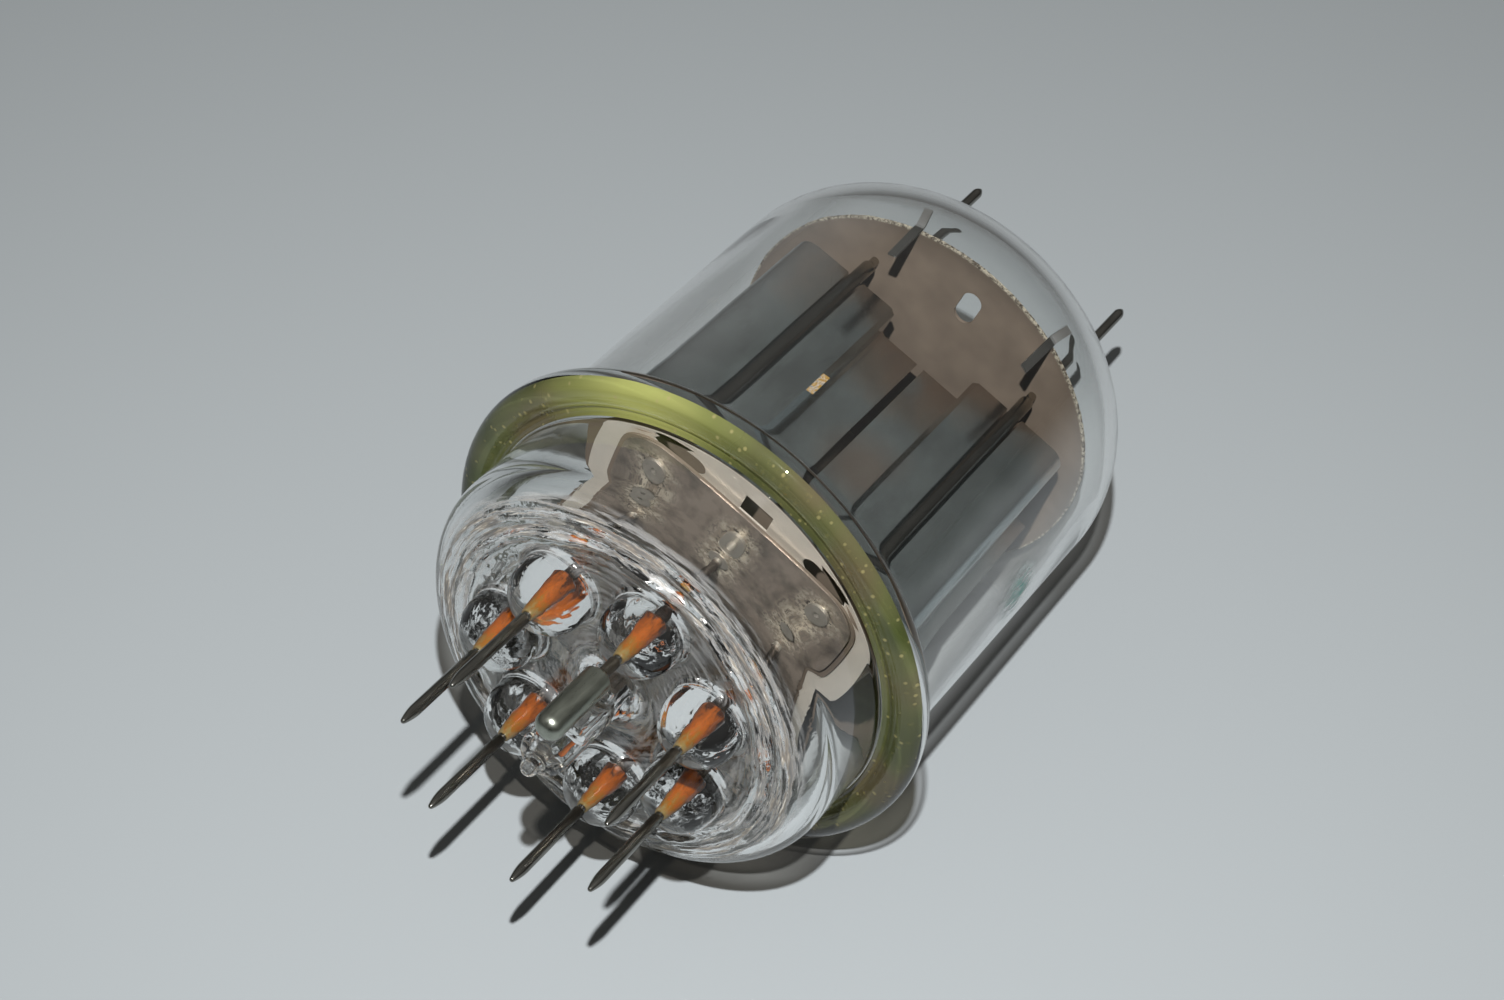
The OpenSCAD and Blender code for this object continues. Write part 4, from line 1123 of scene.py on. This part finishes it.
class TUBE_OT_pins(Operator):
    """Set the base pins, the index pin with its sleeve, and the anode pins."""
    bl_idname = "tube.pins"
    bl_label = "Pins and seals"

    def execute(self, context):
        e, p = settings().envelope, settings().pins
        g = Glass(e)
        for k in range(PINS):
            self.base_pin(k, e, p, g)
            self.amber_seal(k, e, p, g)
        self.sleeve(p)
        for side, side_name in SIDES:
            self.anode_pin(side, side_name, e, p, g)
        return {"FINISHED"}

    def base_pin(self, k, e, p, g):
        """A pin of the base, thinner where it is inside the glass; number 0 is the index pin."""
        name, low = f"base_pin_{k}", 0.0
        tip_r, taper = p.tip_r, p.base_taper
        if k == 0:
            name, low = "index_pin", p.index_inset + 0.4 * MM
            tip_r, taper = p.pin_r * 0.8, 0.2 * MM
        free = g.boss_z - math.sqrt(e.dome_r ** 2 - p.wire_r ** 2)
        outline = [(r, low + z) for r, z in bullet(tip_r, p.pin_r, taper + tip_r)]
        outline += [(p.pin_r, free - 0.1 * MM), (p.pin_r - 0.08 * MM, free), (p.wire_r, free)]
        outline += [(p.wire_r, p.pin_top), (0.0, p.pin_top)]
        turned(f"smooth_{name}", outline, "pin_metal", [name], pin_spot(k))

    def amber_seal(self, k, e, p, g):
        """The oxide seal round a pin of the base, thinner where the pin comes out."""
        low, bore = g.boss_z - e.dome_r + p.seal_inset, p.wire_r * 0.9
        outline = [(bore, low), (p.seal_thin_r - 0.06 * MM, low)]
        outline += [(p.seal_thin_r, low + 0.1 * MM), (p.seal_r, e.floor_z - 0.15 * MM)]
        outline += [(p.seal_r - 0.15 * MM, e.floor_z), (bore, e.floor_z)]
        turned(f"amber_seal_{k}", outline, "oxide_seal", ["pin_seals"] if k == 0 else [],
               pin_spot(k), closed=True)

    def sleeve(self, p):
        """The index pin's sleeve, with a closed and rounded end."""
        r, bevel, floor = p.sleeve_r, p.sleeve_round, 0.7 * MM
        outline = [(0.0, 0.0)] + arc(r - bevel, bevel, bevel, -90, 0, 12)
        outline += [(r, p.sleeve_len - bevel / 3), (r - bevel / 3, p.sleeve_len),
                    (p.pin_r, p.sleeve_len), (p.pin_r, floor), (0.0, floor)]
        turned("smooth_index_sleeve", outline, "sleeve_metal", ["index_sleeve"], pin_spot(0),
               segments=56)

    def anode_pin(self, side, side_name, e, p, g):
        """An anode's pin on its boss of the cap."""
        boss = g.cap_z + math.sqrt(g.cap_r ** 2 - p.anode_x ** 2) - e.bulb_wall / 2
        free = boss + math.sqrt(e.anode_dome_r ** 2 - p.wire_r ** 2)
        low = boss - e.anode_dome_r - e.bulb_wall
        point = bullet(p.tip_r, p.pin_r, p.anode_taper)[::-1]
        outline = [(0.0, low), (p.wire_r, low), (p.wire_r, free), (p.pin_r, free)]
        outline += [(r, p.anode_top - z) for r, z in point]
        turned(f"smooth_anode_pin_{side_name}", outline, "pin_metal", [f"anode_pin_{side_name}"],
               (side * p.anode_x, 0))


class TUBE_OT_anodes(Operator):
    """Fold the four anode halves and lay the round rods in their grooves."""
    bl_idname = "tube.anodes"
    bl_label = "Anodes"

    def execute(self, context):
        s, p = settings().electrodes, settings().pins
        wall_x, face = s.side_x - s.sheet / 2, s.face_y - s.sheet / 2
        groove = s.rod_r + s.sheet / 2
        lead = math.degrees(math.asin(s.sheet / 2 / groove))
        strip, bend = s.strip_y - s.sheet / 2, 0.5 * MM
        path = [(s.gap, strip), (s.step_x - bend, strip), (s.step_x, strip + bend)]
        path += [(s.step_x, face - bend), (s.step_x + bend, face)]
        path += arc(p.anode_x, s.face_y, groove, 180 + lead, 360 - lead, 16)
        path += arc(wall_x - s.fold_r, face - s.fold_r, s.fold_r, 90, 0, 10)
        path += [(wall_x, s.sheet / 2), (wall_x + s.seam_w, s.sheet / 2)]
        outline = band(path, s.sheet)
        for side, side_name in SIDES:
            for depth, depth_name in ((-1, "front"), (1, "back")):
                loop = [(side * x, depth * y) for x, y in outline]
                verts, faces = prism(loop, s.low, s.high)
                name = f"anode_{depth_name}_{side_name}"
                as_piece(f"folded_{name}", verts, faces, "anode_metal", [name], FOLD_CREASE)
        for side, side_name in SIDES:
            self.rods(side, side_name, s, p)
        return {"FINISHED"}

    def rods(self, side, side_name, s, p):
        """Both rods of one anode, as one piece."""
        foot, top, stop = s.low - s.rod_foot, s.disc_z - s.rod_gap, s.disc_z + s.rod_gap
        slim, end = s.rod_r * 0.8, s.rod_r * 0.6
        outline = [(0.0, foot), (slim, foot)] + arc(slim - end, top - end, end, 0, 90, 8)
        outline += [(s.rod_r / 2, top), (s.rod_r / 2, stop), (0.0, stop)]
        verts, faces = [], []
        for depth in (-1, 1):
            v, f = lathe(clean(outline), 40)
            faces += [tuple(i + len(verts) for i in one) for one in f]
            verts += [(x + side * p.anode_x, y + depth * s.face_y, z) for x, y, z in v]
        name = f"anode_rods_{side_name}"
        as_piece(f"smooth_{name}", verts, faces, "rod_metal", [name], CREASE)


class TUBE_OT_decks(Operator):
    """Stamp the top disc, the lower shield and the capacitor plate."""
    bl_idname = "tube.decks"
    bl_label = "Disc and decks"

    def execute(self, context):
        self.top_disc()
        self.lower_shield()
        self.capacitor_plate()
        return {"FINISHED"}

    def top_disc(self):
        """The disc under the dome, with a crinkled rim."""
        s = settings().electrodes
        steps, wear = 300, 0.06 * MM
        rim = []
        for i in range(steps):
            a = 2 * math.pi * i / steps
            r = s.disc_r - wear + wear * noise.noise(Vector((i * 0.9, 0.3, 0.1)))
            rim.append((r * math.cos(a), r * math.sin(a)))
        loops = [rim]
        for sy in (-1, 1):
            mid = sy * (s.slot_y + s.slot_len / 2)
            loops.append([(y, x) for x, y in stadium(mid, 0, s.slot_len, s.slot_w)])
        mesh = plate_mesh("top_disc_sheet", loops, s.disc_z, s.plate_t)
        mesh_piece("stamped_top_disc", mesh, "mica", ["top_disc"], STAMP_CREASE)

    def holes(self):
        """Clearance holes of the six leads and the six eyelets."""
        s, p = settings().electrodes, settings().pins
        loops = [circle(*pin_spot(k), p.wire_r * 1.1, 24) for k in range(1, PINS)]
        return loops + [circle(sx * s.eyelet_x, sy * s.eyelet_y, s.eyelet_r / 2, 16)
                        for sx in (-1, 0, 1) for sy in (-1, 1)]

    def lower_shield(self):
        """The slotted shield over the capacitor plate."""
        s = settings().electrodes
        c = s.shield_corner
        cx = s.shield_x - c
        cy = math.sqrt((s.shield_r - c) ** 2 - cx ** 2)
        a = math.degrees(math.atan2(cy, cx))
        rim = arc(cx, cy, c, 0, a, 10) + arc(0, 0, s.shield_r, a, 180 - a, 60)[1:]
        rim += arc(-cx, cy, c, 180 - a, 180, 10)[1:] + arc(-cx, -cy, c, 180, 180 + a, 10)
        rim += arc(0, 0, s.shield_r, 180 + a, 360 - a, 60)[1:]
        rim += arc(cx, -cy, c, 360 - a, 360, 10)[1:]
        mid, y = (s.vent_in + s.vent_out) / 2, s.plate_y + 0.3 * MM
        loops = [rim] + self.holes()
        loops += [stadium(sx * mid, sy * y, s.vent_out - s.vent_in, s.vent_w)
                  for sx in (-1, 1) for sy in (-1, 1)]
        x = s.notch_w / 2
        for sy in (-1, 1):
            y0, y1 = sy * (s.plate_y - 0.4 * MM), sy * (s.plate_y + s.notch_len)
            loops.append([(-x, y0), (x, y0), (x, y1), (-x, y1)])
        z = s.deck_z + s.plate_t + s.mica_t
        mesh = plate_mesh("shield_sheet", loops, z, s.edge_t)
        mesh_piece("stamped_shield", mesh, "deck_nickel", ["lower_shield"], STAMP_CREASE)

    def capacitor_plate(self):
        """The rounded plate, with holes for the leads and the eyelets."""
        s = settings().electrodes
        loops = [rounded_box(s.plate_x, s.plate_y, s.plate_corner)] + self.holes()
        mesh = plate_mesh("capacitor_sheet", loops, s.deck_z, s.edge_t)
        mesh_piece("stamped_plate", mesh, "deck_nickel", ["capacitor_plate"], STAMP_CREASE)


class TUBE_OT_grids(Operator):
    """Wind the control and screen grids of both units round their rods."""
    bl_idname = "tube.grids"
    bl_label = "Grids"

    def execute(self, context):
        s = settings().grids
        grid, wire = wound_grid(), finish("grid_wire")
        for kind, width, depth in (("control", s.control_w, s.control_d),
                                   ("screen", s.screen_w, s.screen_d)):
            for side, side_name in SIDES:
                mesh = grid.mesh(Width=width, Depth=depth, Low=s.low, High=s.high, Pitch=s.pitch,
                                 Wire=s.wire_r, Rod=s.rod_r, Rod_low=s.rod_low,
                                 Rod_high=s.rod_high, Material=wire)
                mesh.transform(Matrix.Translation((side * s.unit_x, 0, 0)))
                node = f"{kind}_grid_{side_name}"
                mesh_piece(f"wound_{node}", mesh, "grid_wire", [node], CREASE)
        return {"FINISHED"}


class TUBE_OT_finishes(Operator):
    """Give every solid that is shown as it is its procedural finish."""
    bl_idname = "tube.finishes"
    bl_label = "Finishes of the inner pieces"

    def execute(self, context):
        slots = {s["node"]: s["material_slot"] for s in frame["record"]["subparts"]}
        for name, node in frame["nodes"].items():
            for slot in node.material_slots:
                slot.material = finish(slots[name])
        return {"FINISHED"}


class TUBE_OT_stage(Operator):
    """Set the table, the camera, the key lamp and the room."""
    bl_idname = "tube.stage"
    bl_label = "Stage"

    def execute(self, context):
        st = settings().stage
        scene = context.scene
        corners = [(x * st.table, y * st.table, 0) for x, y in ((-1, -1), (1, -1), (1, 1), (-1, 1))]
        mesh = bpy.data.meshes.new("table")
        mesh.from_pydata(corners, [], [(0, 1, 2, 3)])
        mesh.materials.append(floor_finish())
        table = bpy.data.objects.new("table", mesh)
        scene.collection.objects.link(table)
        self.camera(scene, st)
        self.lamp(scene, st)
        self.room(scene, st)
        scene.view_settings.view_transform = "Standard"
        scene.cycles.caustics_reflective = False
        scene.cycles.caustics_refractive = False
        scene.cycles.max_bounces = 20
        scene.cycles.transmission_bounces = 20
        scene.cycles.transparent_max_bounces = 32
        return {"FINISHED"}

    def camera(self, scene, st):
        """The camera at the photograph's place."""
        lens = bpy.data.cameras.new("camera")
        lens.sensor_width = 36
        lens.lens = st.lens
        lens.clip_start = 0.005
        camera = bpy.data.objects.new("camera", lens)
        back = -Vector(st.forward).normalized()
        right = Vector(st.upward).cross(back).normalized()
        up = back.cross(right)
        turn = Matrix((right, up, back)).transposed().to_4x4()
        camera.matrix_world = Matrix.Translation(st.eye) @ turn
        scene.collection.objects.link(camera)
        scene.camera = camera

    def lamp(self, scene, st):
        """A small soft key lamp above the lens."""
        lamp = bpy.data.lights.new("key", "AREA")
        lamp.shape = "DISK"
        lamp.size = st.key_size
        lamp.energy = st.key_power
        key = bpy.data.objects.new("key", lamp)
        aim = Vector(st.key_place) - Vector(st.key_aim)
        key.matrix_world = (Matrix.Translation(st.key_place)
                            @ aim.to_track_quat("Z", "Y").to_matrix().to_4x4())
        scene.collection.objects.link(key)

    def room(self, scene, st):
        """An even room, paler upwards; glass and metal see it brighter than the table does."""
        world = bpy.data.worlds.new("room")
        scene.world = world
        world.use_nodes = True
        sky = Tree(world.node_tree)
        height = sky.parts(sky.add("ShaderNodeTexCoord").outputs["Generated"])["Z"]
        tone = sky.ramp(sky.spread(height, 0.0, 1.0, -1.0, 1.0), (
            (0.5, (0.35, 0.35, 0.33)), (0.9, (1.35, 1.33, 1.27))))
        ray = sky.add("ShaderNodeLightPath").outputs
        seen = sky.math("MAXIMUM", ray["Is Transmission Ray"], ray["Is Glossy Ray"])
        sky.fill(world.node_tree.nodes["Background"], {
            "Color": tone, "Strength": sky.spread(seen, st.fill, st.gloss, 0.0, 1.0)})


class TUBE_PT_panel(Panel):
    """Lists the steps in the sidebar."""
    bl_idname = "TUBE_PT_panel"
    bl_label = "Twin tetrode tube"
    bl_space_type = "VIEW_3D"
    bl_region_type = "UI"
    bl_category = "Tube"

    def draw(self, context):
        for step in STEPS:
            self.layout.operator(step.bl_idname)


STEPS = (TUBE_OT_stage, TUBE_OT_envelope, TUBE_OT_seal_ring, TUBE_OT_pins, TUBE_OT_anodes,
         TUBE_OT_decks, TUBE_OT_grids, TUBE_OT_finishes)
CLASSES = (EnvelopeSizes, PinSizes, ElectrodeSizes, GridSizes, TubeColours, StageSizes,
           TubeSettings, *STEPS, TUBE_PT_panel)


def register():
    """Adds the classes and the scene's settings."""
    for cls in CLASSES:
        bpy.utils.register_class(cls)
    bpy.types.Scene.tube_settings = PointerProperty(type=TubeSettings)


def unregister():
    """Removes them again."""
    del bpy.types.Scene.tube_settings
    for cls in reversed(CLASSES):
        bpy.utils.unregister_class(cls)


def main():
    """Builds everything in order."""
    register()
    bpy.ops.tube.stage()
    bpy.ops.tube.envelope()
    bpy.ops.tube.seal_ring()
    bpy.ops.tube.pins()
    bpy.ops.tube.anodes()
    bpy.ops.tube.decks()
    bpy.ops.tube.grids()
    bpy.ops.tube.finishes()
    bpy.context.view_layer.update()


if __name__ == "__main__":
    main()
